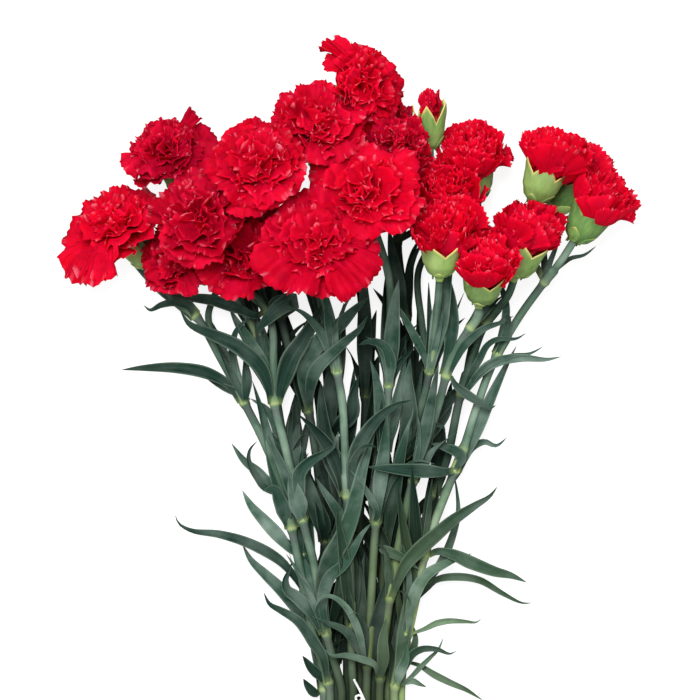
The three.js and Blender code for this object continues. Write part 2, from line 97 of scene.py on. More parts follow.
# ---- heads: kind, radius, middle, facing direction and how crimson the petals are ----
HEADS = {
    "bloom_01": ("open", 26, (-142.8, 186.3, 36), (-0.5, 0.62, 0.6), 0.2),
    "bloom_02": ("open", 22.5, (-102, 170, 44), (-0.4, 0.42, 0.8), 0.85),
    "bloom_03": ("open", 22.3, (-111.5, 234.5, 46), (-0.2, 0.7, 0.68), 1.0),
    "bloom_04": ("open", 26.5, (-92, 192, 82), (-0.35, 0.5, 0.79), 0.9),
    "bloom_05": ("open", 27, (-62.5, 172.5, 64), (0.05, 0.45, 0.89), 0.7),
    "bloom_06": ("open", 26, (-55.5, 223.5, 88), (-0.05, 0.5, 0.86), 0.5),
    "bloom_07": ("open", 27, (-19, 177, 92), (0.02, 0.42, 0.91), 0.6),
    "bloom_08": ("open", 26, (-19, 247.5, 62), (0.05, 0.65, 0.76), 0.55),
    "bloom_09": ("open", 28.5, (10, 208, 80), (-0.1, 0.5, 0.86), 0.25),
    "bloom_10": ("open", 24, (10, 270.5, 42), (0.72, 0.3, 0.62), 0.2),
    "bloom_11": ("open", 18, (21, 249.5, 17), (0.2, 0.95, 0.24), 0.9),
    "bloom_12": ("half", 18.7, (55.6, 190.6, 78), (0.05, 0.86, 0.5), 0.1),
    "bloom_13": ("half", 18, (55.6, 210, 52), (0.1, 0.6, 0.79), 0.15),
    "bloom_14": ("open", 19, (31, 235, 54), (0.1, 0.5, 0.86), 0.9),
    "bloom_15": ("bud", 5, (48, 249.5, 40), (0, 0.97, 0.25), 0.5),
    "bloom_16": ("half", 18.5, (71.3, 236.8, 34), (-0.12, 0.85, 0.5), 0.15),
    "bloom_17": ("half", 16.5, (82.5, 170.5, 72), (0.12, 0.76, 0.64), 0.15),
    "bloom_18": ("half", 17.4, (111.3, 190.6, 54), (0.31, 0.88, 0.36), 0.2),
    "bloom_19": ("half", 16.4, (155.4, 210.2, 48), (0.53, 0.84, 0.12), 0.1),
    "bloom_20": ("half", 19.2, (124.4, 236.5, 50), (0.35, 0.9, 0.24), 0.1),
    "bloom_21": ("half", 17.6, (145.2, 227.6, 21), (0.58, 0.81, 0.08), 0.15),
}

# Each kind of head: distance from the cup's base to the head's middle, the cup's outline as
# (height, radius), and how far its five lobes stand above the dips between them.
KINDS = {
    "open": {
        "middle": 38,
        "cup": ((0, 3.0), (3.5, 5.6), (13, 7.2), (24, 7.9)),
        "lobe": 5.0,
    },
    "half": {
        "middle": 40,
        "cup": ((0, 3.2), (2.5, 7.2), (9, 10.8), (22, 13.2)),
        "lobe": 7.5,
    },
    "bud": {
        "middle": 18,
        "cup": ((0, 2.8), (3.4, 6.0), (11, 8.6), (23, 9.8)),
        "lobe": 12.0,
    },
}

# ---- stems: row in the tie, cut end, place in the tie, route, joints and branches ----
STEMS = {
    "stem_01": {
        "row": "front", "cut": (-17.5, -297), "tie": -12.5, "head": "bloom_01",
        "route": [(-22, -63, 11), (-32, -14, 12), (-41, 27, 14), (-52, 55, 15), (-63, 77, 15),
                  (-79, 107, 15), (-93, 131, 14), (-106, 141, 10)],
        "joints": (-224, -90, 4, 79, 131),
        "branches": [(112, [(-86, 132, 8)], "bloom_02")],
    },
    "stem_02": {
        "row": "back", "cut": (-22, -292), "tie": -16, "head": "bloom_03",
        "route": [(-22, -51, 5), (-31, -3, 5), (-39, 45, 5), (-45, 81, 5), (-52, 108, 6),
                  (-62, 133, 7), (-76, 158, 9), (-88, 180, 10)],
        "joints": (-205, -95, -66, -38, -12, 22, 82, 120),
        "branches": [(120, [(-69, 142, 15), (-74, 152, 25)], "bloom_04")],
    },
    "stem_03": {
        "row": "front", "cut": (-8.5, -300), "tie": -5.5, "head": "bloom_05",
        "route": [(-13.5, -65, 14), (-23, -14, 18), (-28, 5, 20), (-40, 55, 21), (-45.8, 79, 22),
                  (-46.5, 107, 22), (-47, 123, 21), (-51, 136, 20)],
        "joints": (-215, -60, 8, 79, 134),
        "branches": [],
    },
    "stem_04": {
        "row": "back", "cut": (-13, -296), "tie": -9, "head": "bloom_06",
        "route": [(-11, -50, 5), (-14.7, -9.6, 7), (-21.9, 55, 11), (-25.5, 74, 12), (-34, 101, 12),
                  (-42, 130, 11), (-48, 155, 12), (-53, 178, 18)],
        "joints": (-233, -78, -4, 74, 132),
        "branches": [],
    },
    "stem_05": {
        "row": "front", "cut": (0.8, -294), "tie": 1.6, "head": "bloom_07",
        "route": [(0.9, -81, 12), (0, -30, 17), (-2, 24, 22), (-3.3, 50, 26), (-5, 80, 28),
                  (-8, 98, 30), (-13, 130, 34)],
        "joints": (-228, -55, 22, 98),
        "branches": [],
    },
    "stem_06": {
        "row": "back", "cut": (-4, -298), "tie": -2, "head": "bloom_08",
        "route": [(-3, -40, 5), (-9, 24, 8), (-12, 60, 9), (-15, 103, 10), (-22, 150, 12),
                  (-24, 185, 14)],
        "joints": (-206, -40, 12, 60, 128),
        "branches": [],
    },
    "stem_07": {
        "row": "front", "cut": (10.2, -299), "tie": 9.6, "head": "bloom_09",
        "route": [(12.3, -44, 14), (15.3, 6, 18), (20.7, 50, 22), (23, 90, 24), (24, 123, 25),
                  (23, 155, 26)],
        "joints": (-201, -80, 6, 50, 90),
        "branches": [],
    },
    "stem_08": {
        "row": "back", "cut": (5.5, -293), "tie": 5.6, "head": "bloom_10",
        "route": [(5, -40, 5), (6, 20, 6), (9, 80, 7), (8, 140, 7), (2, 190, 7), (-7, 225, 6),
                  (-17, 250, 6)],
        "joints": (-219, -62, 20, 84, 140),
        "branches": [(178, [(6, 200, 5)], "bloom_11")],
    },
    "stem_09": {
        "row": "back", "cut": (15, -297), "tie": 13.6, "head": "bloom_12",
        "route": [(17, -60, 6), (21, -10, 9), (27, 36, 13), (37, 59, 17), (47.7, 98, 24),
                  (51, 122, 35)],
        "joints": (-229, -68, -10, 46, 98),
        "branches": [(98, [(43, 128, 17), (41, 158, 9)], "bloom_13")],
    },
    "stem_10": {
        "row": "back", "cut": (24.5, -295), "tie": 22, "head": "bloom_14",
        "route": [(24, -40, 5), (30, 20, 5), (37, 80, 6), (34, 130, 6), (29, 170, 5), (28, 195, 6)],
        "joints": (-210, -48, 20, 76, 130, 178),
        "branches": [(178, [(43, 206, 18)], "bloom_15"),
                     (178, [(50, 188, 5), (73, 190, 4)], "bloom_16")],
    },
    "stem_11": {
        "row": "front", "cut": (19.7, -296), "tie": 17.6, "head": "bloom_17",
        "route": [(21, -60, 13), (25.5, -28, 16), (32, 8, 19), (38, 33, 22), (44.7, 53, 25),
                  (53, 78, 30), (58.5, 98, 33), (67, 117, 35)],
        "joints": (-205, -88, -38, 32, 96, 124),
        "branches": [],
    },
    "stem_12": {
        "row": "back", "cut": (34, -299), "tie": 30.6, "head": "bloom_18",
        "route": [(34, -60, 5), (40, -20, 8), (44.7, 3, 10), (51, 25, 12), (58.5, 46, 14),
                  (66, 82, 18), (74.7, 110, 20), (80, 124, 20), (87, 134, 22)],
        "joints": (-215, -78, -40, 24, 84, 126),
        "branches": [],
    },
    "stem_13": {
        "row": "front", "cut": (29.5, -293), "tie": 26.5, "head": "bloom_19",
        "route": [(33.5, -65, 12), (40, -34, 15), (47.7, -2, 18), (59.7, 30, 20), (68, 51, 21),
                  (75, 73, 21), (83, 96, 22), (90.5, 112, 22), (102.5, 132, 20), (114, 148, 21)],
        "joints": (-233, -92, -60, -12, 38, 108, 152),
        "branches": [(152, [(108, 170, 10), (103, 180, 13)], "bloom_20"),
                     (152, [(117, 168, 8)], "bloom_21")],
    },
}

# ---- leaves: stem, height they grow from, side they leave on, width, twist and route ----
LEAVES = {
    "leaf_01": ("stem_01", 79, (-1, 0, 0.4), 8, 0.3, [(-74, 90, 18), (-86.5, 97, 21), (-104, 100, 20),
                (-124, 100, 14), (-138.5, 99, 10)]),
    "leaf_02": ("stem_01", 131, (-0.8, 0, 1), 5, 0.5, [(-98, 137, 20), (-106, 139.5, 22), (-114, 138, 21),
                (-121, 135, 18), (-125, 138, 17)]),
    "leaf_03": ("stem_03", 79, (-1, 0, 0.6), 10, 0.2, [(-50, 90, 28), (-54, 100, 31), (-66.5, 112, 33),
                (-85, 121, 32), (-97, 126.5, 30), (-102.5, 134.5, 28)]),
    "leaf_04": ("stem_02", 22, (-1, 0, 0.1), 6.5, -0.3, [(-50, 31, 7), (-56.5, 38, 8), (-64, 44, 8),
                (-72, 54.5, 7)]),
    "leaf_05": ("stem_02", -12, (-1, 0, 0.1), 8.5, 0.2, [(-36.5, -10, 6), (-44, -1, 9), (-52, 7.5, 11),
                (-60, 16.5, 11), (-65.5, 26, 9)]),
    "leaf_06": ("stem_02", -38, (-1, 0, 0.1), 7, 0.5, [(-33, -28, 7), (-43, -16, 13), (-61, -6, 17),
                (-79, -0.7, 15), (-96, 1.5, 11), (-104, 6, 9), (-106, 11, 8)]),
    "leaf_07": ("stem_02", -66, (-1, 0, 0.1), 8.5, 0.2, [(-27.5, -54, 5.5), (-33.5, -44, 6),
                (-42.5, -33.5, 7), (-51.5, -25, 7), (-60.5, -16, 6), (-65.5, -6.5, 5)]),
    "leaf_08": ("stem_01", -90, (-0.3, 0, 1), 7.5, 0.4, [(-16.5, -75, 19), (-21, -67.5, 21),
                (-31.5, -53, 22), (-42, -46.5, 20), (-49, -42.5, 17), (-52.5, -35.5, 14)]),
    "leaf_09": ("stem_03", 79, (1, 0, 0.6), 12.5, 0.3, [(-40, 93, 28), (-36, 106, 30), (-29, 117, 31),
                (-22.5, 128, 31), (-17, 138.5, 29)]),
    "leaf_10": ("stem_04", 74, (0.6, 0, 1), 8.5, -0.2, [(-24, 90, 24), (-20, 100, 31), (-12, 108, 36),
                (-3, 116, 39), (5, 123, 39), (10.5, 131.5, 38)]),
    "leaf_11": ("stem_03", 134, (0.5, 0, 1), 7, 0.3, [(-46, 139, 26), (-40, 142.5, 28), (-33, 145, 28)]),
    "leaf_12": ("stem_05", 22, (0.6, 0, 0.8), 10, 0.6, [(3, 48, 31), (9, 61, 33), (17, 71, 34),
                (27, 78, 34), (37, 81, 31)]),
    "leaf_13": ("stem_03", -60, (0.5, 0, 1), 8, -0.3, [(-17, -42, 20), (-12.5, -26, 23), (-4.5, -19, 25),
                (1, -11, 26), (7, 0, 27), (13, 7, 27)]),
    "leaf_14": ("stem_07", -80, (-0.3, 0, 1), 5, 0.8, [(7.5, -70, 20), (5.5, -61, 24), (2, -52, 27),
                (-3, -44, 29), (-9.5, -38.5, 29), (-15.5, -37.5, 28), (-19.5, -41, 25), (-22, -47, 22)]),
    "leaf_15": ("stem_11", -88, (0, 0, 1), 8, 0.2, [(19.5, -76, 20), (19.5, -64, 22), (21.5, -51, 22)]),
    "leaf_16": ("stem_13", 38, (-0.3, 0, 1), 9, 0.3, [(56, 37.5, 27), (47, 38, 30), (35, 38.5, 31),
                (22, 39.5, 31), (10.5, 40.5, 30)]),
    "leaf_17": ("stem_11", 96, (0.6, 0, 0.8), 5.5, 0.4, [(63, 104, 39.5), (67, 112, 40.5),
                (73.5, 119, 38.5), (81, 124.5, 36), (90, 127.5, 34), (98, 131.5, 32)]),
    "leaf_18": ("stem_12", 84, (0.5, 0, 1), 6.5, 0.5, [(72, 89, 26), (77, 96, 29), (83, 101.5, 31),
                (91, 105, 32), (104, 106.5, 31), (118, 105.5, 28), (127, 107, 26)]),
    "leaf_19": ("stem_11", 96, (1, 0, 0.3), 6, -0.4, [(63.5, 90, 34), (67, 86.5, 34), (72.5, 82.5, 33),
                (79, 78.5, 31), (84, 76, 29), (87.5, 77.5, 28)]),
    "leaf_20": ("stem_12", 24, (1, 0, -0.3), 6.5, 0.7, [(58, 28, 11), (63, 35.5, 12), (67.5, 45, 13),
                (73, 52.5, 14), (81, 56, 14), (88, 53.5, 13), (94.5, 58, 11)]),
    "leaf_21": ("stem_11", -38, (0.3, 0, 1), 9.5, 0.3, [(33, -19, 25), (42, -8.5, 27), (51, -0.5, 28),
                (62, 9, 29), (75, 17.5, 27), (84, 23, 25), (88.5, 28.5, 23)]),
    "leaf_22": ("stem_13", -12, (1, 0, 0.3), 8.5, -0.3, [(53, -10.5, 21), (61, -12, 22), (73, -17.5, 20),
                (87, -23, 17), (97, -25.5, 13), (106.5, -29.5, 9)]),
    "leaf_23": ("stem_12", -40, (1, 0, 0), 5, 0.4, [(47, -33, 9), (52, -28, 10), (64, -26, 12),
                (78, -28, 11), (92, -36, 9), (104, -42, 7), (110, -42, 6)]),
    "leaf_24": ("stem_13", -60, (1, 0, 0.3), 4, 0.5, [(45, -57.5, 15), (52, -54, 16), (60, -52.5, 16),
                (70, -53, 13), (76, -53.5, 12), (79, -51.5, 11)]),
    "leaf_25": ("stem_12", -78, (1, 0, 0), 4.5, 0.3, [(42, -80, 6), (50, -85, 7), (60, -90, 7),
                (70, -94.5, 6), (80, -101, 4)]),
}

# The same for leaves that have no solid of their own in the frame.
MORE_LEAVES = [
    ("stem_04", -78, (0.5, 0, 0.2), 8, 0.1, [(-5.5, -70, 7), (-5, -58, 7), (-6, -42, 8)]),
    ("stem_06", 12, (-0.6, 0, 0.4), 12, 0.2, [(-12, 30, 12), (-16, 52, 13), (-17, 80, 13)]),
    ("stem_13", 152, (-1, 0, 0.3), 3.6, 0.3, [(118, 158, 24), (121, 166, 25), (127, 181, 26)]),
    ("stem_13", 152, (1, 0, 0.3), 3, 0.4, [(122, 157, 24), (132, 166, 25), (141, 168.5, 24),
     (148, 173.5, 23)]),
    ("stem_03", 134, (-1, 0, 0.5), 7.5, 0.5, [(-57, 131.5, 25), (-67, 135.5, 28), (-82, 140.5, 28),
     (-97, 142.5, 26), (-117, 147, 22)]),
    ("stem_01", 79, (-1, 0, 0.2), 5, -0.4, [(-68, 84, 17), (-77, 89, 18), (-86.5, 93.5, 16)]),
    ("stem_01", 79, (0.3, 0, 1), 7, 1.2, [(-63, 84, 20), (-63, 93, 21), (-64, 102, 20), (-65, 112, 18)]),
    ("stem_02", 22, (-0.8, 0, 0.5), 5, 0.8, [(-52, 28, 8), (-56, 33, 9), (-60, 39, 11), (-62, 45, 11),
     (-61, 51, 10), (-56.5, 56, 9)]),
    ("stem_02", 22, (-0.3, 0, 0.6), 9, 0.3, [(-41, 50, 8), (-46, 67, 8), (-52, 76, 8), (-60.5, 81.5, 8)]),
    ("stem_02", 82, (-0.6, 0, 0.6), 9, 0.3, [(-53, 101, 12), (-62, 117, 13), (-69, 128, 13),
     (-73.5, 137, 12)]),
    ("stem_01", 4, (-1, 0, 0.6), 10, 0.3, [(-40, 13, 17), (-43, 20.5, 19), (-46, 26.5, 19), (-53, 26, 17)]),
    ("stem_03", 8, (-0.4, 0, 1), 12, 0.2, [(-31.5, 17.5, 27), (-34, 26.5, 28), (-37, 35.5, 27)]),
    ("stem_03", 8, (0.3, 0, 1), 9, 0.9, [(-31, 26, 27), (-31, 37, 30), (-24.5, 44.5, 32), (-15, 50, 32),
     (-10, 54, 31), (-11, 62, 29)]),
    ("stem_01", -90, (-1, 0, 0.2), 6.5, 0.4, [(-19.5, -85.5, 12), (-24.5, -80.5, 12), (-29, -74, 11)]),
    ("stem_02", -95, (-1, 0, 0.2), 6, -0.3, [(-21, -97, 6), (-25, -93, 7), (-28.5, -88, 7)]),
    ("stem_04", 132, (0.3, 0, 1), 12, 0.3, [(-36, 140, 26), (-43, 136, 32), (-57, 122, 27)]),
    ("stem_12", 84, (0.7, 0, 0.7), 4.5, 0.3, [(72, 95, 24), (78, 106, 27), (82, 113.5, 29), (88, 117.5, 30),
     (100, 118, 29), (105.5, 121, 28)]),
    ("stem_12", 84, (0.6, 0, 0.8), 4, 0.3, [(76, 96, 30), (84, 102.5, 32), (97, 107.5, 32), (108, 109, 31),
     (116, 113, 30)]),
    ("stem_13", -92, (0.8, 0, 0.6), 5, 0.5, [(33, -81, 14), (37, -73, 16), (43, -69.5, 17), (52, -69.5, 16),
     (60, -72.5, 13), (64, -71, 12)]),
    ("stem_13", -92, (0.8, 0, 0.2), 3.2, 0.4, [(36.5, -87, 9), (42, -81, 10), (48, -75, 10), (53, -70, 10),
     (56, -63.5, 9)]),
    ("stem_13", -92, (1, 0, 0), 4, 0.5, [(37, -89, 9), (42, -91, 8), (46, -93, 7)]),
    ("stem_13", -92, (0.5, 0, 0.8), 7, 0.6, [(30, -84, 16), (33, -75, 17), (34, -66, 16)]),
    ("stem_12", -78, (0.8, 0, 0.4), 5, 0.4, [(37, -72, 10), (39, -64, 11), (38, -56, 11)]),
    ("stem_12", -40, (0.5, 0, 0.8), 5.5, 0.9, [(44, -32, 13), (51, -23, 14), (57, -12.5, 15),
     (61.5, -0.5, 15), (64.5, 12, 14), (64, 25, 13), (62, 38, 12)]),
    ("stem_13", -60, (0.2, 0, 1), 8, -0.5, [(37, -42, 20), (45, -26, 22), (58, -18, 21), (73, -12, 16)]),
    ("stem_13", 38, (0, 0, 1), 7, 0.3, [(67, 46, 25), (64, 49.5, 26), (56, 52.5, 26), (48.5, 54.5, 24)]),
    ("stem_03", -60, (-1, 0, 0.1), 9, 1, [(-24, -47, 17), (-31, -40, 18), (-39, -34, 18), (-40, -28, 17),
     (-37.5, -22, 16), (-35, -16, 14)]),
    ("stem_09", 98, (-0.3, 0, 1), 5.5, 0.3, [(44, 108, 28), (37, 122, 30), (27, 140, 27)]),
    ("stem_07", 90, (0.2, 0, 1), 7.5, 0.5, [(24, 104, 31), (20, 113, 34), (12, 116, 33), (5, 114, 29)]),
    ("stem_06", 60, (0.2, 0, 1), 11, 0.8, [(-6, 66, 20), (0, 73, 24), (1, 84, 25), (5, 96, 24)]),
    ("stem_04", 74, (0.3, 0, 1), 13, 0.2, [(-27, 95, 22), (-24, 110, 27), (-15, 119, 31), (-5, 128, 34),
     (4, 137, 34), (11, 143, 32)]),
    ("stem_07", -80, (-0.6, 0, 0.6), 6, 0.8, [(4, -68, 17), (-3, -59, 19), (-12.5, -54.5, 20),
     (-23, -50, 17)]),
    ("stem_11", -88, (-0.6, 0, 0.8), 4.5, 0.6, [(14.5, -79, 20), (6, -75.5, 22), (-3, -73.5, 22),
     (-11, -73.5, 21), (-16.5, -69, 19)]),
    ("stem_04", -4, (0.5, 0, 1), 7, 0.4, [(-9, 0, 14), (-6, 9, 20), (-10.5, 17.5, 22), (-16, 25.5, 22),
     (-21, 34, 20)]),
    ("stem_04", -4, (-0.3, 0, 1), 9, 0.3, [(-16, 5, 15), (-18.5, 14.5, 17), (-21.5, 24, 16)]),
    ("stem_03", -60, (0.2, 0, 1), 12, 0.2, [(-17, -35, 18), (-12.5, -16, 23), (-5.5, -3.5, 27), (0, 10, 29),
     (3.5, 24, 30), (6.5, 37.5, 30), (11, 52, 29), (15.5, 66, 27)]),
    ("stem_07", 6, (-0.6, 0, 1), 4.5, 0.6, [(16, 13, 25), (11.5, 22.5, 28), (5.5, 31.5, 31),
     (-0.5, 39, 31)]),
    ("stem_09", -10, (-0.3, 0, 1), 6.5, 0.3, [(19, -9, 18), (24, -11, 23), (32, -14.5, 24), (41, -21, 22)]),
    ("stem_03", 8, (0.3, 0, -1), 10, 0.3, [(-29, 30, 14), (-32, 55, 12), (-34, 84, 10)]),
    ("stem_04", 74, (-0.5, 0, 0.4), 11, 0.3, [(-30, 92, 17), (-30, 112, 18), (-26, 130, 18)]),
    ("stem_05", 22, (-0.8, 0, 0.2), 11, -0.4, [(-12, 45, 20), (-16, 66, 19), (-18, 92, 18)]),
    ("stem_04", -4, (-0.6, 0, 0.8), 10, 0.7, [(-19, 6, 15), (-25, 26, 18), (-30, 40, 20), (-29, 53, 20)]),
    ("stem_06", 60, (0.2, 0, 0.5), 12, 0.2, [(-12, 80, 14), (-8, 105, 15), (-4, 135, 15)]),
    ("stem_06", 12, (0.4, 0, 0.6), 11, 0.3, [(-6, 40, 14), (0, 70, 15), (2, 100, 15)]),
    ("stem_08", 20, (0.6, 0, 0.4), 9, 0.2, [(10, 50, 11), (14, 80, 12), (17, 108, 12)]),
    ("stem_10", 20, (0.6, 0, 0.5), 11, 0.2, [(35, 32, 11), (44, 44, 12), (50, 58, 12)]),
    ("stem_09", 46, (0.6, 0, 0.5), 10, 0.2, [(48, 62, 17), (57, 74, 17), (61, 92, 17)]),
    ("stem_10", 130, (-0.5, 0, 0.4), 9, 0.2, [(30, 145, 10), (26, 165, 12), (23, 185, 12)]),
]

# The plan's origin lies where the tie's middle puts it.
tie_low, tie_high = (np.array(corner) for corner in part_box("tie"))
tie_places = [stem["tie"] for stem in STEMS.values()]
PLAN_SHIFT = np.array([
    (tie_low[0] + tie_high[0]) / 2 - (min(tie_places) + max(tie_places)) / 2 * MM,
    (tie_low[1] + tie_high[1]) / 2 - TIE_Y * MM,
    0.0,
])


def placed(points):
    """Points of the plan, in millimetres, as places in metres."""
    return np.asarray(points, float) * MM + PLAN_SHIFT


# ---- small tools ----
def unit(vector):
    vector = np.asarray(vector, float)
    return vector / np.linalg.norm(vector)


def smoothstep(low, high, value):
    t = np.clip((value - low) / (high - low), 0, 1)
    return t * t * (3 - 2 * t)


def spline(points, count):
    """A centripetal curve through the points, as evenly spaced places along it."""
    p = np.asarray(points, float)
    p = np.vstack([2 * p[0] - p[1], p, 2 * p[-1] - p[-2]])
    fine = []
    for a, b, c, d in zip(p, p[1:], p[2:], p[3:]):
        knots = np.cumsum([0.0] + [np.linalg.norm(v - u) ** 0.5 for u, v in ((a, b), (b, c), (c, d))])
        t0, t1, t2, t3 = knots
        t = np.linspace(t1, t2, CURVE_SAMPLES, endpoint=False)[:, None]
        ab = (t1 - t) / (t1 - t0) * a + (t - t0) / (t1 - t0) * b
        bc = (t2 - t) / (t2 - t1) * b + (t - t1) / (t2 - t1) * c
        cd = (t3 - t) / (t3 - t2) * c + (t - t2) / (t3 - t2) * d
        abc = (t2 - t) / (t2 - t0) * ab + (t - t0) / (t2 - t0) * bc
        bcd = (t3 - t) / (t3 - t1) * bc + (t - t1) / (t3 - t1) * cd
        fine.append((t2 - t) / (t2 - t1) * abc + (t - t1) / (t2 - t1) * bcd)
    fine = np.vstack(fine + [p[-2][None]])
    travelled = distances(fine)
    even = np.linspace(0, travelled[-1], count)
    return np.column_stack([np.interp(even, travelled, fine[:, i]) for i in range(3)])


def distances(points):
    """How far along the line through the points each of them lies."""
    return np.concatenate([[0], np.cumsum(np.linalg.norm(np.diff(points, axis=0), axis=1))])


def length_of(points):
    return float(np.sum(np.linalg.norm(np.diff(points, axis=0), axis=1)))


def grid_faces(rows, columns, closed=False):
    """Faces of a grid of vertices stored row by row; closed joins the last column to the first."""
    faces = []
    for r in range(rows - 1):
        for c in range(columns if closed else columns - 1):
            n = (c + 1) % columns
            faces.append((r * columns + c, r * columns + n, (r + 1) * columns + n, (r + 1) * columns + c))
    return faces


def mesh_object(name, vertices, faces=(), edges=(), attributes=None):
    """An object at the origin whose mesh carries the named per-vertex values."""
    mesh = bpy.data.meshes.new(name)
    mesh.from_pydata(np.asarray(vertices).tolist(), list(edges), list(faces))
    for key, values in (attributes or {}).items():
        values = np.asarray(values, np.float32)
        kind = "FLOAT_VECTOR" if values.ndim == 2 else "FLOAT"
        layer = mesh.attributes.new(key, kind, "POINT")
        layer.data.foreach_set("vector" if values.ndim == 2 else "value", values.ravel())
    mesh.polygons.foreach_set("use_smooth", [True] * len(mesh.polygons))
    obj = bpy.data.objects.new(name, mesh)
    bpy.context.scene.collection.objects.link(obj)
    return obj


def drop(obj):
    """Removes an object and its mesh."""
    mesh = obj.data
    bpy.data.objects.remove(obj)
    bpy.data.meshes.remove(mesh)


# ---- node tools ----
def node(tree, kind, links=None, **settings):
    """A node with its settings; links maps an input's name or number to a value or an output."""
    made = tree.nodes.new(kind)
    for key, value in settings.items():
        setattr(made, key, value)
    for key, value in (links or {}).items():
        socket = made.inputs[key]
        if isinstance(value, bpy.types.NodeSocket):
            tree.links.new(value, socket)
        else:
            socket.default_value = value
    return made


def put(tree, kind, links=None, **settings):
    """The first output of a new node."""
    return node(tree, kind, links, **settings).outputs[0]


def math_node(tree, operation, *values):
    return put(tree, "ShaderNodeMath", dict(enumerate(values)), operation=operation)


def times(tree, first, second):
    return math_node(tree, "MULTIPLY", first, second)


def combined(tree, x, y, z):
    return put(tree, "ShaderNodeCombineXYZ", {"X": x, "Y": y, "Z": z})


def dressed(tree, geometry, material):
    """Smooth-shaded geometry in a material."""
    smooth = put(tree, "GeometryNodeSetShadeSmooth", {"Geometry": geometry})
    return put(tree, "GeometryNodeSetMaterial", {"Geometry": smooth, "Material": material})


def named_value(tree, name, data_type="FLOAT"):
    return put(tree, "GeometryNodeInputNamedAttribute", {"Name": name}, data_type=data_type)


def new_tree(name, kind, inputs, outputs):
    """A node group with its named inputs, as (name, type, default), and outputs."""
    tree = bpy.data.node_groups.new(name, kind)
    for label, socket_type, default in inputs:
        item = tree.interface.new_socket(label, in_out="INPUT", socket_type="NodeSocket" + socket_type)
        if default is not None:
            item.default_value = default
    for label, socket_type in outputs:
        tree.interface.new_socket(label, in_out="OUTPUT", socket_type="NodeSocket" + socket_type)
    return tree, tree.nodes.new("NodeGroupInput").outputs, tree.nodes.new("NodeGroupOutput").inputs


def grown(obj, tree, **values):
    """Runs a geometry tree on an object and leaves the plain mesh it makes."""
    modifier = obj.modifiers.new(tree.name, "NODES")
    modifier.node_group = tree
    sockets = {item.name: item.identifier for item in tree.interface.items_tree if item.in_out == "INPUT"}
    for label, value in values.items():
        modifier[sockets[label.replace("_", " ")]] = value
    evaluated = obj.evaluated_get(bpy.context.evaluated_depsgraph_get())
    mesh = bpy.data.meshes.new_from_object(evaluated)
    obj.modifiers.remove(modifier)
    old, obj.data = obj.data, mesh
    bpy.data.meshes.remove(old)
    return obj


# ---- thin shells ----
def shell(grid, thickness, values):
    """A closed thin shell round a grid of places, as points, faces and values per point."""
    rows, columns = grid.shape[:2]
    normal = np.cross(np.gradient(grid, axis=1), np.gradient(grid, axis=0))
    normal /= np.linalg.norm(normal, axis=-1, keepdims=True) + 1e-9
    outer, inner = grid + normal * thickness / 2, grid - normal * thickness / 2
    ring = np.concatenate([outer, inner[:, ::-1]], axis=1)
    faces = grid_faces(rows, 2 * columns, closed=True)
    last = (rows - 1) * 2 * columns
    for near in range(columns - 1):
        far = 2 * columns - 2 - near
        faces.append((near, far + 1, far, near + 1))
        faces.append((last + near, last + near + 1, last + far, last + far + 1))
    doubled = {
        key: np.concatenate([value, value[:, ::-1]], axis=1).ravel() for key, value in values.items()
    }
    return ring.reshape(-1, 3), faces, doubled


def joined_mesh(name, parts, materials=()):
    """One object from several parts, each (points, faces, values, material number)."""
    keys = sorted({key for part in parts for key in part[2]})
    starts = np.cumsum([0] + [len(part[0]) for part in parts])
    points = np.vstack([part[0] for part in parts])
    faces = [tuple(i + start for i in face) for part, start in zip(parts, starts) for face in part[1]]
    values = {
        key: np.concatenate([part[2].get(key, np.zeros(len(part[0]))) for part in parts]) for key in keys
    }
    obj = mesh_object(name, points, faces, attributes=values)
    for material in materials:
        obj.data.materials.append(material)
    obj.data.polygons.foreach_set("material_index", [part[3] for part in parts for _ in part[1]])
    return obj


def read_part(obj, keys, number):
    """The points, faces and named values of an object's mesh, as a part for joining."""
    mesh = obj.data
    points = np.empty(len(mesh.vertices) * 3)
    mesh.vertices.foreach_get("co", points)
    values = {}
    for key in keys:
        layer = mesh.attributes[key]
        values[key] = np.empty(len(layer.data), np.float32)
        layer.data.foreach_get("value", values[key])
    faces = [tuple(face.vertices) for face in mesh.polygons]
    return points.reshape(-1, 3), faces, values, number


def moved(points, matrix):
    """Points after a matrix of four rows has moved them."""
    flat = np.column_stack([points, np.ones(len(points))])
    return (flat @ np.array(matrix).T)[:, :3]


SURFACE_CLEARANCE = 0.0004
# What is pressed flat keeps this share of its differences in height.
PRESSED_SHARE = 0.02


def laid_on_surface(obj):
    """Presses what would reach through the surface flat against it."""
    mesh = obj.data
    places = np.empty(len(mesh.vertices) * 3)
    mesh.vertices.foreach_get("co", places)
    heights = places[2::3]
    low = heights < SURFACE_CLEARANCE
    heights[low] = SURFACE_CLEARANCE + PRESSED_SHARE * (heights[low] - heights.min())
    mesh.vertices.foreach_set("co", places)
    mesh.update()


def attached(obj, slot, *nodes):
    """Lays a finished piece on the surface, parents it to the root body and hides the parts it stands for.
    """
    laid_on_surface(obj)
    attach(obj, "root")
    if nodes:
        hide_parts(*nodes)


# ---- materials ----
def attribute(tree, name):
    return node(tree, "ShaderNodeAttribute", attribute_name=name).outputs["Fac"]


def mixed(tree, factor, first, second):
    """A colour between two, by a factor."""
    links = {"Factor": factor, "A": first, "B": second}
    return node(tree, "ShaderNodeMix", links, data_type="RGBA").outputs["Result"]


def remapped(tree, value, low, high, to_low=0.0, to_high=1.0):
    links = {"Value": value, "From Min": low, "From Max": high, "To Min": to_low, "To Max": to_high}
    return put(tree, "ShaderNodeMapRange", links)


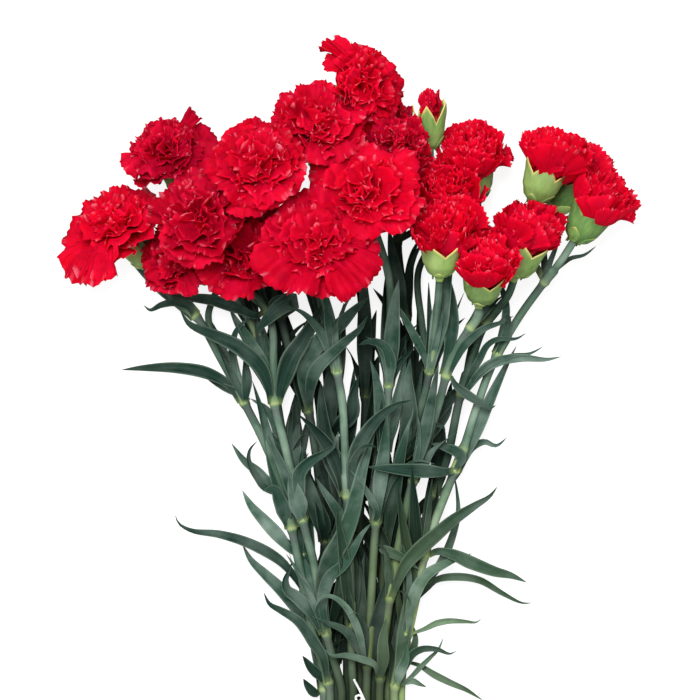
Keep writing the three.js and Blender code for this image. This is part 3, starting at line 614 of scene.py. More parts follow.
def noise(tree, scale, detail, vector=None):
    if vector is None:
        vector = node(tree, "ShaderNodeTexCoord").outputs["Object"]
    links = {"Vector": vector, "Scale": scale, "Detail": detail}
    return node(tree, "ShaderNodeTexNoise", links).outputs["Fac"]


def veined_petal_group():
    """Colour, roughness and relief of a petal from its place on the blade, with painted highlights and
    painted fold shade.
    """
    tree, given, made = new_tree(
        "veined petal", "ShaderNodeTree",
        [("Bright", "Color", (0.72, 0.0, 0.016, 1)), ("Crimson", "Color", (0.34, 0.0, 0.014, 1)),
         ("Vein and fold shade", "Color", (0.3, 0.0, 0.006, 1)), ("Soft highlight", "Color", (0.9, 0.004, 0.04, 1)),
         ("Edge highlight", "Color", (0.95, 0.16, 0.24, 1)), ("Claw", "Color", (0.6, 0.1, 0.08, 1)),
         ("Vein strength", "Float", 0.3)],
        [("Colour", "Color"), ("Roughness", "Float"), ("Relief", "Float")],
    )
    along, across, tone, ripe = (attribute(tree, name) for name in ("along", "across", "tone", "ripe"))
    spread = combined(tree, times(tree, across, 14.0), times(tree, along, 1.2), times(tree, tone, 37.0))
    veins = noise(tree, 1.0, 3.0, spread)
    mottle = noise(tree, 110.0, 4.0)
    broad = noise(tree, 32.0, 2.0)

    body = mixed(tree, ripe, given["Bright"], given["Crimson"])
    # Painted highlight: lighter patches mottled over the petals.
    soft_highlight = remapped(tree, math_node(tree, "ADD", mottle, times(tree, tone, 0.35)), 0.6, 0.95)
    body = mixed(tree, times(tree, soft_highlight, 0.6), body, given["Soft highlight"])
    # Partly the petals' own veins and partly painted shade in their soft folds.
    vein_and_fold_shade = math_node(tree, "MULTIPLY_ADD", veins, given["Vein strength"], times(tree, broad, 0.55))
    vein_and_fold_shade = math_node(tree, "SUBTRACT", vein_and_fold_shade, times(tree, tone, 0.14))
    body = mixed(tree, remapped(tree, vein_and_fold_shade, 0.3, 0.62, 0.0, 0.6), body, given["Vein and fold shade"])
    # Painted highlight: short pale-pink marks along the petals' toothed outer edges.
    teeth = combined(tree, times(tree, across, 9.0), 0.0, times(tree, tone, 91.0))
    edge_highlight = remapped(tree, noise(tree, 1.0, 2.0, teeth), 0.56, 0.7)
    edge_highlight = times(tree, remapped(tree, along, 0.86, 1.0), edge_highlight)
    body = mixed(tree, times(tree, edge_highlight, 0.8), body, given["Edge highlight"])
    body = mixed(tree, remapped(tree, along, 0.0, -0.1), body, given["Claw"])
    tree.links.new(body, made["Colour"])
    tree.links.new(math_node(tree, "MULTIPLY_ADD", veins, 0.2, 0.6), made["Roughness"])
    tree.links.new(math_node(tree, "MULTIPLY_ADD", mottle, 0.5, veins), made["Relief"])
    return tree


def waxy_green_group():
    """A fresh green skin with lengthwise veins and pale patches, partly a waxy bloom and partly painted
    sheen.
    """
    tree, given, made = new_tree(
        "waxy green", "ShaderNodeTree",
        [("Skin", "Color", (0.1, 0.17, 0.12, 1)), ("Shade", "Color", (0.04, 0.08, 0.06, 1)),
         ("Wax and sheen", "Color", (0.3, 0.38, 0.33, 1)), ("Wax and sheen amount", "Float", 0.4),
         ("Across", "Float", 0.0), ("Along", "Float", 0.0), ("Veins", "Float", 9.0)],
        [("Colour", "Color"), ("Roughness", "Float"), ("Relief", "Float")],
    )
    tone = attribute(tree, "tone")
    across = times(tree, given["Across"], given["Veins"])
    spread = combined(tree, across, times(tree, given["Along"], 3.0), times(tree, tone, 23.0))
    veins = noise(tree, 1.0, 2.0, spread)
    patches = noise(tree, 45.0, 5.0)
    shade = math_node(tree, "MULTIPLY_ADD", veins, 0.7, times(tree, tone, 0.6))
    skin = mixed(tree, remapped(tree, shade, 0.35, 0.95), given["Skin"], given["Shade"])
    # Pale patches, partly waxy bloom and partly painted sheen, strongest where the skin is paler.
    lit = remapped(tree, tone, 0.0, 0.9, 1.7, 0.1)
    wax_and_sheen = times(tree, remapped(tree, patches, 0.42, 0.7), given["Wax and sheen amount"])
    wax_and_sheen = times(tree, wax_and_sheen, lit)
    tree.links.new(mixed(tree, wax_and_sheen, skin, given["Wax and sheen"]), made["Colour"])
    tree.links.new(math_node(tree, "MULTIPLY_ADD", patches, 0.2, 0.45), made["Roughness"])
    tree.links.new(veins, made["Relief"])
    return tree


def twine_group():
    """White twine whose fibres are greyer in their grooves, a painted shade."""
    tree, given, made = new_tree(
        "plied twine", "ShaderNodeTree",
        [("Fibre", "Color", (0.84, 0.84, 0.82, 1)), ("Groove shade", "Color", (0.5, 0.5, 0.48, 1))],
        [("Colour", "Color"), ("Roughness", "Float"), ("Relief", "Float")],
    )
    fibres = noise(tree, 900.0, 4.0)
    # Painted shade: the fibres greyer in the twine's grooves.
    groove_shade = remapped(tree, fibres, 0.35, 0.8)
    tree.links.new(mixed(tree, groove_shade, given["Fibre"], given["Groove shade"]), made["Colour"])
    tree.links.new(remapped(tree, fibres, 0, 1, 0.7, 0.95), made["Roughness"])
    tree.links.new(fibres, made["Relief"])
    return tree


# Painted shade: the near-black that the inside of the bunch and the stems' undersides are darkened towards.
INNER_SHADE = (0.001, 0.004, 0.002, 1)
RELIEF_DISTANCE = 0.0004


def finish(name, group, values, bump, attributes=(), tints=(), **constants):
    """A material whose colour, roughness and relief come from a group.

    attributes feeds the group's inputs from the mesh, and tints lays colours over its own,
    each as (attribute, strength, colour). The mesh's painted shade darkens the colour towards
    INNER_SHADE, inside the bunch and on the stems' undersides.
    """
    material = bpy.data.materials.new(name)
    material.use_nodes = True
    tree = material.node_tree
    shader = tree.nodes["Principled BSDF"]
    for label, value in constants.items():
        shader.inputs[label.replace("_", " ")].default_value = value
    look = tree.nodes.new("ShaderNodeGroup")
    look.node_tree = group
    for label, value in values.items():
        look.inputs[label].default_value = value
    for label, source in dict(attributes).items():
        tree.links.new(attribute(tree, source), look.inputs[label])
    colour = look.outputs["Colour"]
    for source, strength, tint in tints:
        colour = mixed(tree, times(tree, attribute(tree, source), strength), colour, tint)
    # Painted shade: darkens the colour inside the bunch and on the stems' undersides.
    colour = mixed(tree, attribute(tree, "depth"), colour, INNER_SHADE)
    tree.links.new(colour, shader.inputs["Base Color"])
    tree.links.new(look.outputs["Roughness"], shader.inputs["Roughness"])
    links = {"Height": look.outputs["Relief"], "Strength": bump, "Distance": RELIEF_DISTANCE}
    tree.links.new(put(tree, "ShaderNodeBump", links), shader.inputs["Normal"])
    return material


petal_look = finish(
    "carnation petal", veined_petal_group(), {}, 0.4,
    Specular_IOR_Level=0.04, Subsurface_Weight=0.45, Subsurface_Scale=0.003,
)
waxy_green = waxy_green_group()
stem_look = finish(
    "waxy stem", waxy_green,
    {"Skin": (0.1, 0.175, 0.12, 1), "Shade": (0.016, 0.046, 0.028, 1), "Wax and sheen": (0.34, 0.46, 0.36, 1),
     "Veins": 16.0},
    0.3, attributes={"Across": "around", "Along": "along"},
    tints=(("sheath", 0.68, (0.48, 0.6, 0.17, 1)), ("joint", 0.65, (0.43, 0.53, 0.2, 1)),
           ("sap", 0.6, (0.4, 0.54, 0.19, 1)), ("flush", 0.35, (0.1, 0.07, 0.11, 1))),
    Specular_IOR_Level=0.06,
)
leaf_look = finish(
    "waxy leaf", waxy_green,
    {"Skin": (0.038, 0.09, 0.062, 1), "Shade": (0.004, 0.016, 0.011, 1), "Wax and sheen": (0.3, 0.39, 0.33, 1)},
    0.4, attributes={"Across": "rib", "Along": "along"},
    tints=(("under", 0.3, (0.1, 0.16, 0.12, 1)), ("margin", 0.4, (0.26, 0.36, 0.26, 1)),
           ("sap", 0.3, (0.23, 0.33, 0.13, 1)), ("clasp", 0.6, (0.24, 0.33, 0.12, 1))),
    Specular_IOR_Level=0.06,
)
cup_look = finish(
    "green cup", waxy_green,
    {"Skin": (0.29, 0.45, 0.11, 1), "Shade": (0.08, 0.18, 0.045, 1), "Wax and sheen": (0.5, 0.62, 0.26, 1),
     "Veins": 22.0},
    0.5, attributes={"Across": "around", "Along": "along"},
    tints=(("rim", 0.9, (0.8, 0.66, 0.2, 1)),),
    Specular_IOR_Level=0.3, Subsurface_Weight=0.1, Subsurface_Scale=0.002,
)
twine_look = finish("white twine", twine_group(), {}, 0.5, Specular_IOR_Level=0.2)

# ---- petals ----
TEETH = 15
LIMB_ROWS = 8
PETAL_THICKNESS = 0.22
# The strap of a petal inside its cup: the height of each row above the mouth and its half width.
STRAP = ((-13, 1.2), (-5, 2.0))
COURSE_SAMPLES = 60
ANY_PHASE = (0, 6.28)

# How a head's petals change from its heart, the first value, to its outside, the second.
PETALS = {
    "open": {
        "count": 38, "shapes": 16, "mouth": 24, "radius": 25, "teeth": (0.4, 1.7),
        "from_axis": (1.0, 5.5), "limb": (23, 27), "spread": (34, 60), "lean": (2, 10),
        "bend": (8, 112), "ripple": (3.4, 2.4), "waves": (2.6, 1.4), "hollow": (0.5, 0.1),
        "pleat": (0.2, 0.7), "crumple": 0.005,
    },
    "half": {
        "count": 40, "shapes": 12, "mouth": 20.5, "radius": 18.5, "teeth": (0.6, 2.0),
        "from_axis": (1.0, 10.2), "limb": (23, 24), "spread": (30, 52), "lean": (1, 50),
        "bend": (6, 2), "ripple": (2.4, 0.6), "waves": (2.8, 1.4), "hollow": (0.2, 0.6),
        "pleat": (0.3, 0.4), "crumple": 0.002,
    },
    "bud": {
        "count": 15, "shapes": 5, "mouth": 20, "radius": 8, "teeth": (0.2, 0.8),
        "from_axis": (1.0, 6.2), "limb": (15, 13), "spread": (24, 32), "lean": (0, 2),
        "bend": (-4, -26), "ripple": (0.7, 0.5), "waves": (1.4, 1.2), "hollow": (0.8, 1.0),
        "pleat": (0.2, 0.2), "crumple": 0.001,
    },
}
BLADE_SIZES = ("from_axis", "limb", "spread", "lean", "bend", "ripple", "waves", "hollow", "pleat")


def blade_sizes(kind, place, rng):
    """The sizes of a petal at a place between its head's heart, 0, and its outside, 1."""
    plan = PETALS[kind]
    return {
        key: plan[key][0] + (plan[key][1] - plan[key][0]) * place * rng.uniform(0.8, 1.15)
        for key in BLADE_SIZES
    }


def petal_blade(kind, sizes, rng):
    """One petal as a part, in metres: a strap in the cup, then a toothed, rippled fan that
    bends away from the head's axis. +Z is the axis and +X points outward."""
    mouth, teeth = PETALS[kind]["mouth"], PETALS[kind]["teeth"]
    from_axis, limb, ripple, waves = (sizes[key] for key in ("from_axis", "limb", "ripple", "waves"))
    lean, bend, spread = (math.radians(sizes[key]) for key in ("lean", "bend", "spread"))
    across = np.linspace(-1, 1, 2 * TEETH + 1)
    out = np.linspace(0, 1, LIMB_ROWS + 1)[1:, None]

    reach = np.linspace(0, limb * 1.15, COURSE_SAMPLES)
    slope = lean + (bend - lean) * smoothstep(-0.15 * limb, 0.95 * limb, reach)
    course_x = from_axis + np.concatenate([[0], np.cumsum(np.sin(slope[:-1]) * reach[1])])
    course_z = mouth + np.concatenate([[0], np.cumsum(np.cos(slope[:-1]) * reach[1])])

    outline = -0.05 * across**2 - 0.14 * across**6 + 0.05 * np.sin(2.2 * across + rng.uniform(*ANY_PHASE))
    radius = limb * out * (1 + outline * out**2)
    radius[-1] -= rng.uniform(*teeth, across.size) * (np.arange(across.size) % 2)
    u = radius * np.cos(across * spread)
    v = radius * np.sin(across * spread) + across * 2.6

    phases = rng.uniform(*ANY_PHASE, 3)
    swell = out**1.5
    offset = ripple * swell * (
        np.sin(waves * math.pi * across + phases[0])
        + 0.45 * np.sin(2.3 * waves * math.pi * across + phases[1])
    )
    offset = offset + 0.5 * out**5 * np.sin(TEETH * 0.6 * math.pi * across + phases[2])
    offset = offset + sizes["pleat"] * out * np.sin(4.6 * math.pi * across + phases[1])
    offset = offset - sizes["hollow"] * v**2 / limb
    u = u - 0.25 * np.abs(offset) * swell

    slope_there = np.interp(u, reach, slope)
    x = np.interp(u, reach, course_x) + offset * np.cos(slope_there)
    z = np.interp(u, reach, course_z) - offset * np.sin(slope_there)
    grid = np.empty((LIMB_ROWS + 2, across.size, 3))
    grid[2:] = np.stack([x, v, z], axis=-1)
    for row, (height, half_width) in enumerate(STRAP):
        grid[row] = np.stack([np.full(across.size, max(0.4, from_axis + height * math.sin(lean))),
                              across * half_width, np.full(across.size, mouth + height)], axis=-1)
    along = np.broadcast_to(np.concatenate([[-0.5, -0.2], out[:, 0]])[:, None], grid.shape[:2])
    sides = np.broadcast_to(across, grid.shape[:2])
    return shell(grid * MM, PETAL_THICKNESS * MM, {"along": along, "across": sides})


def petal_shapes(kind, seed):
    """A collection of petals for one kind of head, ordered from its heart to its outside."""
    rng = np.random.default_rng(seed)
    count = PETALS[kind]["shapes"]
    shapes = bpy.data.collections.new("petals " + kind)
    for i in range(count):
        points, faces, values = petal_blade(kind, blade_sizes(kind, (i + 0.5) / count, rng), rng)
        obj = mesh_object(f"petal {kind} {i:02d}", points, faces, attributes=values)
        bpy.context.scene.collection.objects.unlink(obj)
        shapes.objects.link(obj)
    return shapes


def whorl_tree():
    """Petals set round an axis at the golden angle, from the heart outward, and crumpled."""
    tree, given, made = new_tree(
        "petal whorls", "GeometryNodeTree",
        [("Loose petals", "Geometry", None), ("Petals", "Collection", None), ("Petal count", "Int", 40),
         ("Shapes", "Int", 12), ("Turn", "Float", GOLDEN_ANGLE), ("Lean", "Float", 0.22),
         ("Crumple", "Float", 0.0045), ("Crumple scale", "Float", 85.0), ("Seed", "Int", 0),
         ("Petal material", "Material", None)],
        [("Head", "Geometry")],
    )

    def random(low, high, offset):
        seed = math_node(tree, "ADD", given["Seed"], float(offset))
        value = node(tree, "FunctionNodeRandomValue", {2: low, 3: high, "Seed": seed}, data_type="FLOAT")
        return value.outputs[1]

    points = put(tree, "GeometryNodePoints", {"Count": given["Petal count"]})
    index = put(tree, "GeometryNodeInputIndex")
    place = math_node(tree, "DIVIDE", math_node(tree, "ADD", index, 0.5), given["Petal count"])
    shape = math_node(tree, "MULTIPLY_ADD", place, given["Shapes"], random(-1.2, 1.2, 1))
    shape = math_node(tree, "MAXIMUM", math_node(tree, "FLOOR", shape), 0.0)
    shape = math_node(tree, "MINIMUM", shape, math_node(tree, "SUBTRACT", given["Shapes"], 1.0))
    around = math_node(tree, "MULTIPLY_ADD", index, given["Turn"], random(-0.35, 0.35, 2))
    lean = times(tree, given["Lean"], random(-1.0, 1.0, 3))
    roll = times(tree, given["Lean"], random(-1.0, 1.0, 4))
    turned = put(tree, "FunctionNodeEulerToRotation", {"Euler": combined(tree, roll, lean, around)})
    petals = put(tree, "GeometryNodeCollectionInfo", {
        "Collection": given["Petals"], "Separate Children": True, "Reset Children": True,
    })
    whorls = put(tree, "GeometryNodeInstanceOnPoints", {
        "Points": points, "Instance": petals, "Pick Instance": True, "Instance Index": shape,
        "Rotation": turned, "Scale": random(0.84, 1.12, 5),
    })
    toned = put(tree, "GeometryNodeStoreNamedAttribute", {
        "Geometry": whorls, "Name": "tone", "Value": random(0.0, 1.0, 6),
    }, data_type="FLOAT", domain="INSTANCE")
    whole = node(tree, "GeometryNodeJoinGeometry")
    tree.links.new(given["Loose petals"], whole.inputs[0])
    tree.links.new(put(tree, "GeometryNodeRealizeInstances", {"Geometry": toned}), whole.inputs[0])
    drift = combined(tree, given["Seed"], 1.7, 0.9)
    position = put(tree, "GeometryNodeInputPosition")
    place = put(tree, "ShaderNodeVectorMath", {0: position, 1: drift}, operation="ADD")
    links = {"Vector": place, "Scale": given["Crumple scale"], "Detail": 1.0}
    colour = node(tree, "ShaderNodeTexNoise", links).outputs["Color"]
    push = put(tree, "ShaderNodeVectorMath", {0: colour, 1: (0.5, 0.5, 0.5)}, operation="SUBTRACT")
    push = put(tree, "ShaderNodeVectorMath", {0: push, "Scale": given["Crumple"]}, operation="SCALE")
    crumpled = put(tree, "GeometryNodeSetPosition", {"Geometry": whole.outputs[0], "Offset": push})
    tree.links.new(dressed(tree, crumpled, given["Petal material"]), made["Head"])
    return tree


def head_turn(faces, spin=0.0):
    """The rotation from a head made round +Z to the way it faces."""
    turn = Vector((0, 0, 1)).rotation_difference(Vector(unit(faces))).to_matrix().to_4x4()
    return turn @ Matrix.Rotation(spin, 4, "Z")


def head_pose(kind, at, faces, size=1.0, spin=0.0):
    """The matrix that puts a head, made round +Z from its cup's base, where it belongs."""
    base = placed(at) - unit(faces) * KINDS[kind]["middle"] * MM
    return Matrix.Translation(Vector(base)) @ head_turn(faces, spin) @ Matrix.Diagonal((size, size, 1, 1))


# Outer petals listed one by one: the way each points on the plan, its bend, length and spread.
LOOSE_PETALS = {
    "bloom_01": [((0.2, -1), 110, 48, 22), ((-0.02, -1), 112, 52, 20),
                 ((-0.38, -1), 108, 43, 22), ((-0.1, 1), 70, 26, 40)],
    "bloom_02": [((1, -0.95), 104, 40, 34), ((0.9, -0.7), 100, 31, 46), ((-0.8, -0.6), 100, 27, 42)],
    "bloom_03": [((0.55, 0.84), 90, 36, 12), ((-0.5, -1), 104, 34, 36)],
    "bloom_04": [((0.9, -0.35), 104, 29, 46), ((0.2, 1), 92, 28, 44)],
    "bloom_05": [((0.2, -1), 104, 29, 44), ((-0.75, -1), 106, 36, 44), ((0.3, 1), 90, 32, 44),
                 ((-0.7, 0.8), 94, 29, 42)],
    "bloom_06": [((0.8, -0.75), 98, 33, 48), ((0.1, -1), 112, 31, 46), ((0.3, 1), 84, 28, 44),
                 ((-1, -0.6), 104, 29, 44)],
    "bloom_07": [((0.75, -1), 105, 47, 24), ((-0.65, -0.88), 104, 44, 32),
                 ((-0.5, 0.9), 92, 35, 46)],
    "bloom_08": [((-0.9, 0.25), 94, 30, 44), ((-0.2, 1), 84, 28, 46), ((0.3, -1), 106, 33, 50)],
    "bloom_09": [((0.4, -1), 104, 37, 44), ((-1, 0.15), 96, 34, 50), ((1, 0.1), 94, 32, 44)],
    "bloom_10": [((-0.92, 0.62), 132, 41, 8), ((-0.75, 0.72), 120, 41, 8), ((-0.9, 0.5), 140, 32, 14),
                 ((0.6, -0.9), 92, 27, 40), ((1, -0.4), 84, 31, 34)],
    "bloom_14": [((0.4, 1), 80, 22, 40)],
    "bloom_16": [((1, -0.2), 84, 17, 34)],
    "bloom_19": [((0.95, 0.1), 60, 22, 26)],
}
# Those with a spread over this many degrees are crinkled.
NARROW_SPREAD = 15
CRINKLE = {"ripple": 3.6, "waves": 2.4}
SPIN_STEP = 1.3


def loose_petals(name, kind, faces, spin, rng):
    """An object of the petals listed one by one, for the whorls to be joined to."""
    parts = []
    for toward, bend, limb, spread in LOOSE_PETALS.get(name, ()):
        sizes = blade_sizes(kind, 1.0, rng) | {"bend": bend, "limb": limb, "spread": spread}
        if spread > NARROW_SPREAD:
            sizes |= CRINKLE
        points, shell_faces, values = petal_blade(kind, sizes, rng)
        local = head_turn(faces, spin).inverted() @ Vector((*toward, 0))
        points = moved(points, Matrix.Rotation(math.atan2(local.y, local.x), 4, "Z"))
        values["tone"] = np.full(len(points), rng.uniform(0.3, 1))
        parts.append((points, shell_faces, values, 0))
    if parts:
        return joined_mesh(name + "_petals", parts)
    return mesh_object(name + "_petals", [(0, 0, 0)])


def build_blooms():
    """Each head's petals as one piece."""
    tree = whorl_tree()
    rng = np.random.default_rng(3)
    shapes = {kind: petal_shapes(kind, seed) for seed, kind in enumerate(PETALS, 11)}
    for number, (name, (kind, radius, at, faces, ripe)) in enumerate(HEADS.items(), 1):
        plan = PETALS[kind]
        spin = number * SPIN_STEP
        bloom = loose_petals(name, kind, faces, spin, rng)
        grown(bloom, tree, Petals=shapes[kind], Petal_count=plan["count"], Shapes=plan["shapes"],
              Crumple=plan["crumple"], Seed=number * 10, Petal_material=petal_look)
        bloom.data.transform(head_pose(kind, at, faces, radius / plan["radius"], spin))
        layer = bloom.data.attributes.new("ripe", "FLOAT", "POINT")
        layer.data.foreach_set("value", np.full(len(bloom.data.vertices), ripe, np.float32))
        attached(bloom, "petals", name)
    for collection in shapes.values():
        for obj in list(collection.objects):
            drop(obj)
        bpy.data.collections.remove(collection)


# ---- stems and cups ----
TAPER = 0.1
TAPER_REACH = (300, 520)
PATTERN_LENGTH = 60
CUP_COLUMNS = 60
CUP_WALL = 0.6
CUP_TURN = 0.6
BRACT_THICKNESS = 0.4
BRACT_HALF_ANGLE = 0.75
# Where each bract starts and ends above the foot of its cup.
BRACTS = ((-2.5, 6), (-2.5, 6), (-0.5, 8.5), (-0.5, 8.5))
# How much painted shade darkens a stem deep inside the bunch and on its underside.
DEEPEST_SHADE = 0.9
UNDERSIDE_SHADE = 0.5


def into_cup(route, head):
    """A run of stem through a route and straight into a head's cup, in metres."""
    kind, _, at, faces, _ = HEADS[head]
    axis = unit(faces)
    base = np.array(at) - axis * KINDS[kind]["middle"]
    points = placed([*route, base - axis * APPROACH, base + axis])
    return spline(points, int(length_of(points) / COURSE_STEP))


def stem_course(stem):
    """The main run of a stem, from its cut end into its cup."""
    tie_z = FRONT_ROW_Z if stem["row"] == "front" else BACK_ROW_Z
    cut_z = CUT_FRONT_Z if stem["row"] == "front" else CUT_BACK_Z
    start = [(stem["cut"][0], stem["cut"][1], cut_z)]
    start += [(stem["tie"], TIE_Y + step, tie_z) for step in (-14, 0, 12)]
    return into_cup(start + stem["route"], stem["head"])


def height_on(course, y):
    """The index of the place on a course at a height of the plan."""
    return int(np.argmin(np.abs(course[:, 1] - placed((0, y, 0))[1])))


def skin_tree():
    """A round skin over lines, as thick as each point says."""
    tree, given, made = new_tree(
        "round skin", "GeometryNodeTree",
        [("Lines", "Geometry", None), ("Sides", "Int", 14), ("Skin material", "Material", None)],
        [("Skin", "Geometry")],
    )
    lines = put(tree, "GeometryNodeMeshToCurve", {"Mesh": given["Lines"]})
    girth = named_value(tree, "girth")
    ring = put(tree, "GeometryNodeCurvePrimitiveCircle", {"Resolution": given["Sides"], "Radius": 1.0})
    factor = node(tree, "GeometryNodeSplineParameter").outputs["Factor"]
    ring = put(tree, "GeometryNodeStoreNamedAttribute",
               {"Geometry": ring, "Name": "around", "Value": factor}, data_type="FLOAT")
    skin = put(tree, "GeometryNodeCurveToMesh",
               {"Curve": lines, "Profile Curve": ring, "Scale": girth, "Fill Caps": True})
    skin = put(tree, "GeometryNodeRealizeInstances", {"Geometry": skin})
    tree.links.new(dressed(tree, skin, given["Skin material"]), made["Skin"])
    return tree


def skinned(name, tree, lines, material, sides):
    """An object skinned over lines, each (points, values), with a girth among its values."""
    starts = np.cumsum([0] + [len(points) for points, _ in lines])
    edges = [
        (start + i, start + i + 1)
        for (points, _), start in zip(lines, starts) for i in range(len(points) - 1)
    ]
    values = {key: np.concatenate([line[1][key] for line in lines]) for key in lines[0][1]}
    obj = mesh_object(name, np.vstack([points for points, _ in lines]), edges=edges, attributes=values)
    return grown(obj, tree, Sides=sides, Skin_material=material)


def stem_lines(stem, course):
    """The lines of a stem and its branches, with how thick and how coloured each point is."""
    along = distances(course) / MM
    girth = STEM_RADIUS * (1 - TAPER * smoothstep(*TAPER_REACH, along))
    joint, flush, sheathed, swelling = np.zeros((4, len(course)))
    for y in stem["joints"]:
        gap = along - along[height_on(course, y)]
        reach = LONG_SHEATHS.get((stem["head"], y), SHEATH_LENGTH)
        knot = (JOINT_RADIUS - STEM_RADIUS) * np.exp(-(gap / JOINT_HALF_LENGTH) ** 2)
        inside = smoothstep(-1, 1, gap) * (1 - smoothstep(reach - 0.5, reach + 0.8, gap))
        sheath = (SHEATH_RADIUS - STEM_RADIUS) * (0.6 + 0.65 * gap / reach) * inside
        swelling = np.maximum(swelling, np.maximum(knot, sheath))
        fading = np.exp(-np.maximum(gap, 0) / JOINT_HALF_LENGTH)
        joint = np.maximum(joint, smoothstep(-2.0, 0, gap) * fading)
        flush = np.maximum(flush, smoothstep(-14, -4, gap) * (1 - smoothstep(-4, -2, gap)))
        if reach > SHEATH_LENGTH:
            sheathed = np.maximum(sheathed, inside * (1 - 0.7 * gap / reach))
    lines = [(course, {
        "girth": (girth + swelling) * MM, "joint": joint, "flush": flush, "sheath": sheathed,
        "along": along / PATTERN_LENGTH,
    })]
    for y, via, head in stem["branches"]:
        fork = (course[height_on(course, y)] - PLAN_SHIFT) / MM
        branch = into_cup([tuple(fork), *via], head)
        far = np.linspace(0, length_of(branch) / MM, len(branch))
        none = np.zeros(len(branch))
        lines.append((branch, {
            "girth": none + BRANCH_RADIUS * MM, "joint": 0.8 * np.exp(-((far - 4) / 5) ** 2),
            "flush": none, "sheath": none, "along": far / PATTERN_LENGTH,
        }))
    return lines


def cup_part(kind, rng):
    """A closed cup of five joined sepals with pointed lobes, round +Z."""
    plan = KINDS[kind]
    heights, radii = np.array(plan["cup"], float).T
    length = heights[-1]
    around = np.linspace(0, 2 * math.pi, CUP_COLUMNS, endpoint=False)
    lobe = np.abs(2 * ((around * 5 / (2 * math.pi)) % 1) - 1) ** 0.85
    vein_and_fold_shade = np.cos(5 * around)
    uneven = 1 + 0.12 * np.sin(around + rng.uniform(0, 6))
    top = length - plan["lobe"] * 0.5 + plan["lobe"] * lobe * uneven

    def row(u, inset):
        height = u * top
        radius = np.interp(np.minimum(height, length), heights, radii) - inset
        radius = radius * (1 + 0.025 * vein_and_fold_shade * smoothstep(0.05, 0.5, u)) + 0.8 * smoothstep(0.8, 1, u) * lobe
        return np.column_stack([radius * np.cos(around), radius * np.sin(around), height])

    levels = [(u, 0.0) for u in np.linspace(0, 1, 16)]
    levels += [(u, CUP_WALL) for u in np.linspace(0.985, 0.3, 6)]
    rows = [row(u, inset) for u, inset in levels]
    rim = [smoothstep(0.9, 1.0, u) for u, _ in levels]
    points = np.vstack([[[0, 0, 0]], *rows, [[0, 0, length * 0.28]]]) * MM
    faces = [tuple(i + 1 for i in face) for face in grid_faces(len(rows), CUP_COLUMNS, closed=True)]
    last = len(points) - 1
    for c in range(CUP_COLUMNS):
        n = (c + 1) % CUP_COLUMNS
        faces += [(0, 1 + n, 1 + c), (last, last - CUP_COLUMNS + c, last - CUP_COLUMNS + n)]
    values = {
        "along": np.concatenate([[0], np.repeat([u for u, _ in levels], CUP_COLUMNS), [0]]),
        "around": np.concatenate([[0], np.tile(around / (2 * math.pi), len(rows)), [0]]),
        "rim": np.concatenate([[0], np.repeat(rim, CUP_COLUMNS), [0]]),
        "tone": np.full(len(points), rng.uniform(0, 1)),
    }
    return points, faces, values


def bract_part(kind, turn, low, high, half_angle, rng):
    """One of the small pointed scales that clasp the foot of a cup."""
    heights, radii = np.array(KINDS[kind]["cup"], float).T
    along = np.linspace(0, 1, 9)[:, None]
    across = np.linspace(-1, 1, 7)[None]
    width = np.minimum(1, 0.6 + along) * (1 - along**2.5) + 0.02
    height = low + (high - low) * along
    radius = np.interp(np.maximum(height, 0.5), heights, radii) + 0.5 * (1 - 0.3 * across**2)
    angle = turn + across * half_angle * width
    grid = np.stack([radius * np.cos(angle), radius * np.sin(angle), height + 0 * across], axis=-1)
    whole = np.ones(grid.shape[:2])
    values = {
        "along": along * whole, "around": across * 0.1 * whole,
        "rim": smoothstep(0.8, 1, along) * 0.5 * whole, "tone": rng.uniform(0, 1) * whole,
    }
    return shell(grid * MM, BRACT_THICKNESS * MM, values)


def build_stems(tree):
    """Each stem with its branches, joints, cups and bracts as one piece."""
    rng = np.random.default_rng(5)
    for name, stem in STEMS.items():
        lines = skinned(name + "_lines", tree, stem_lines(stem, STEM_COURSES[name]), stem_look, STEM_SIDES)
        skin = read_part(lines, ("joint", "flush", "sheath", "along", "around"), 0)
        points, _, values, _ = skin
        values["tone"] = np.full(len(points), rng.uniform(0, 0.6))
        values["sap"] = sappiness(points)
        # Painted shade: darker deep inside the bunch and where the skin faces down.
        normals = np.empty(3 * len(lines.data.vertices))
        lines.data.vertices.foreach_get("normal", normals)
        sheltered = 1 - smoothstep(-0.1, 0.8, normals[2::3])
        lit = (1 - DEEPEST_SHADE * depth_inside(points)) * (1 - UNDERSIDE_SHADE * sheltered)
        values["depth"] = 1 - lit
        drop(lines)
        parts = [skin]
        for head in [stem["head"], *(branch[2] for branch in stem["branches"])]:
            kind, _, at, faces, _ = HEADS[head]
            pose = head_pose(kind, at, faces, 1.0, CUP_TURN + rng.uniform(-0.2, 0.2))
            shapes = [cup_part(kind, rng)]
            turn = rng.uniform(0, 3)
            for k, (low, high) in enumerate(BRACTS):
                shapes.append(bract_part(kind, turn + k * math.pi / 2, low, high, BRACT_HALF_ANGLE, rng))
            parts += [(moved(points, pose), faces, values, 1) for points, faces, values in shapes]
        attached(joined_mesh(name + "_skin", parts, [stem_look, cup_look]), "stems", name)


# ---- leaves ----
LEAF_FOLD = 0.42
LEAF_BELLY = 0.13
LEAF_STATIONS = 30
# Where the green turns yellower, on the plan: rightwards over the first range, and downwards
# over the second.
SAPPY_X = (-35, 50)
SAPPY_Y = (-45, 45)
# The heights, in metres, between which the shade inside the bunch fades.
SHADE_Z = (0.006, 0.032)
# The leaves that the outermost stems bear towards the outside are listed one by one, so any sprung
# pair there keeps close to its stem.
LEFTMOST, RIGHTMOST = ("stem_01", "stem_02"), ("stem_12", "stem_13")
KEPT_CLOSE = 0.1
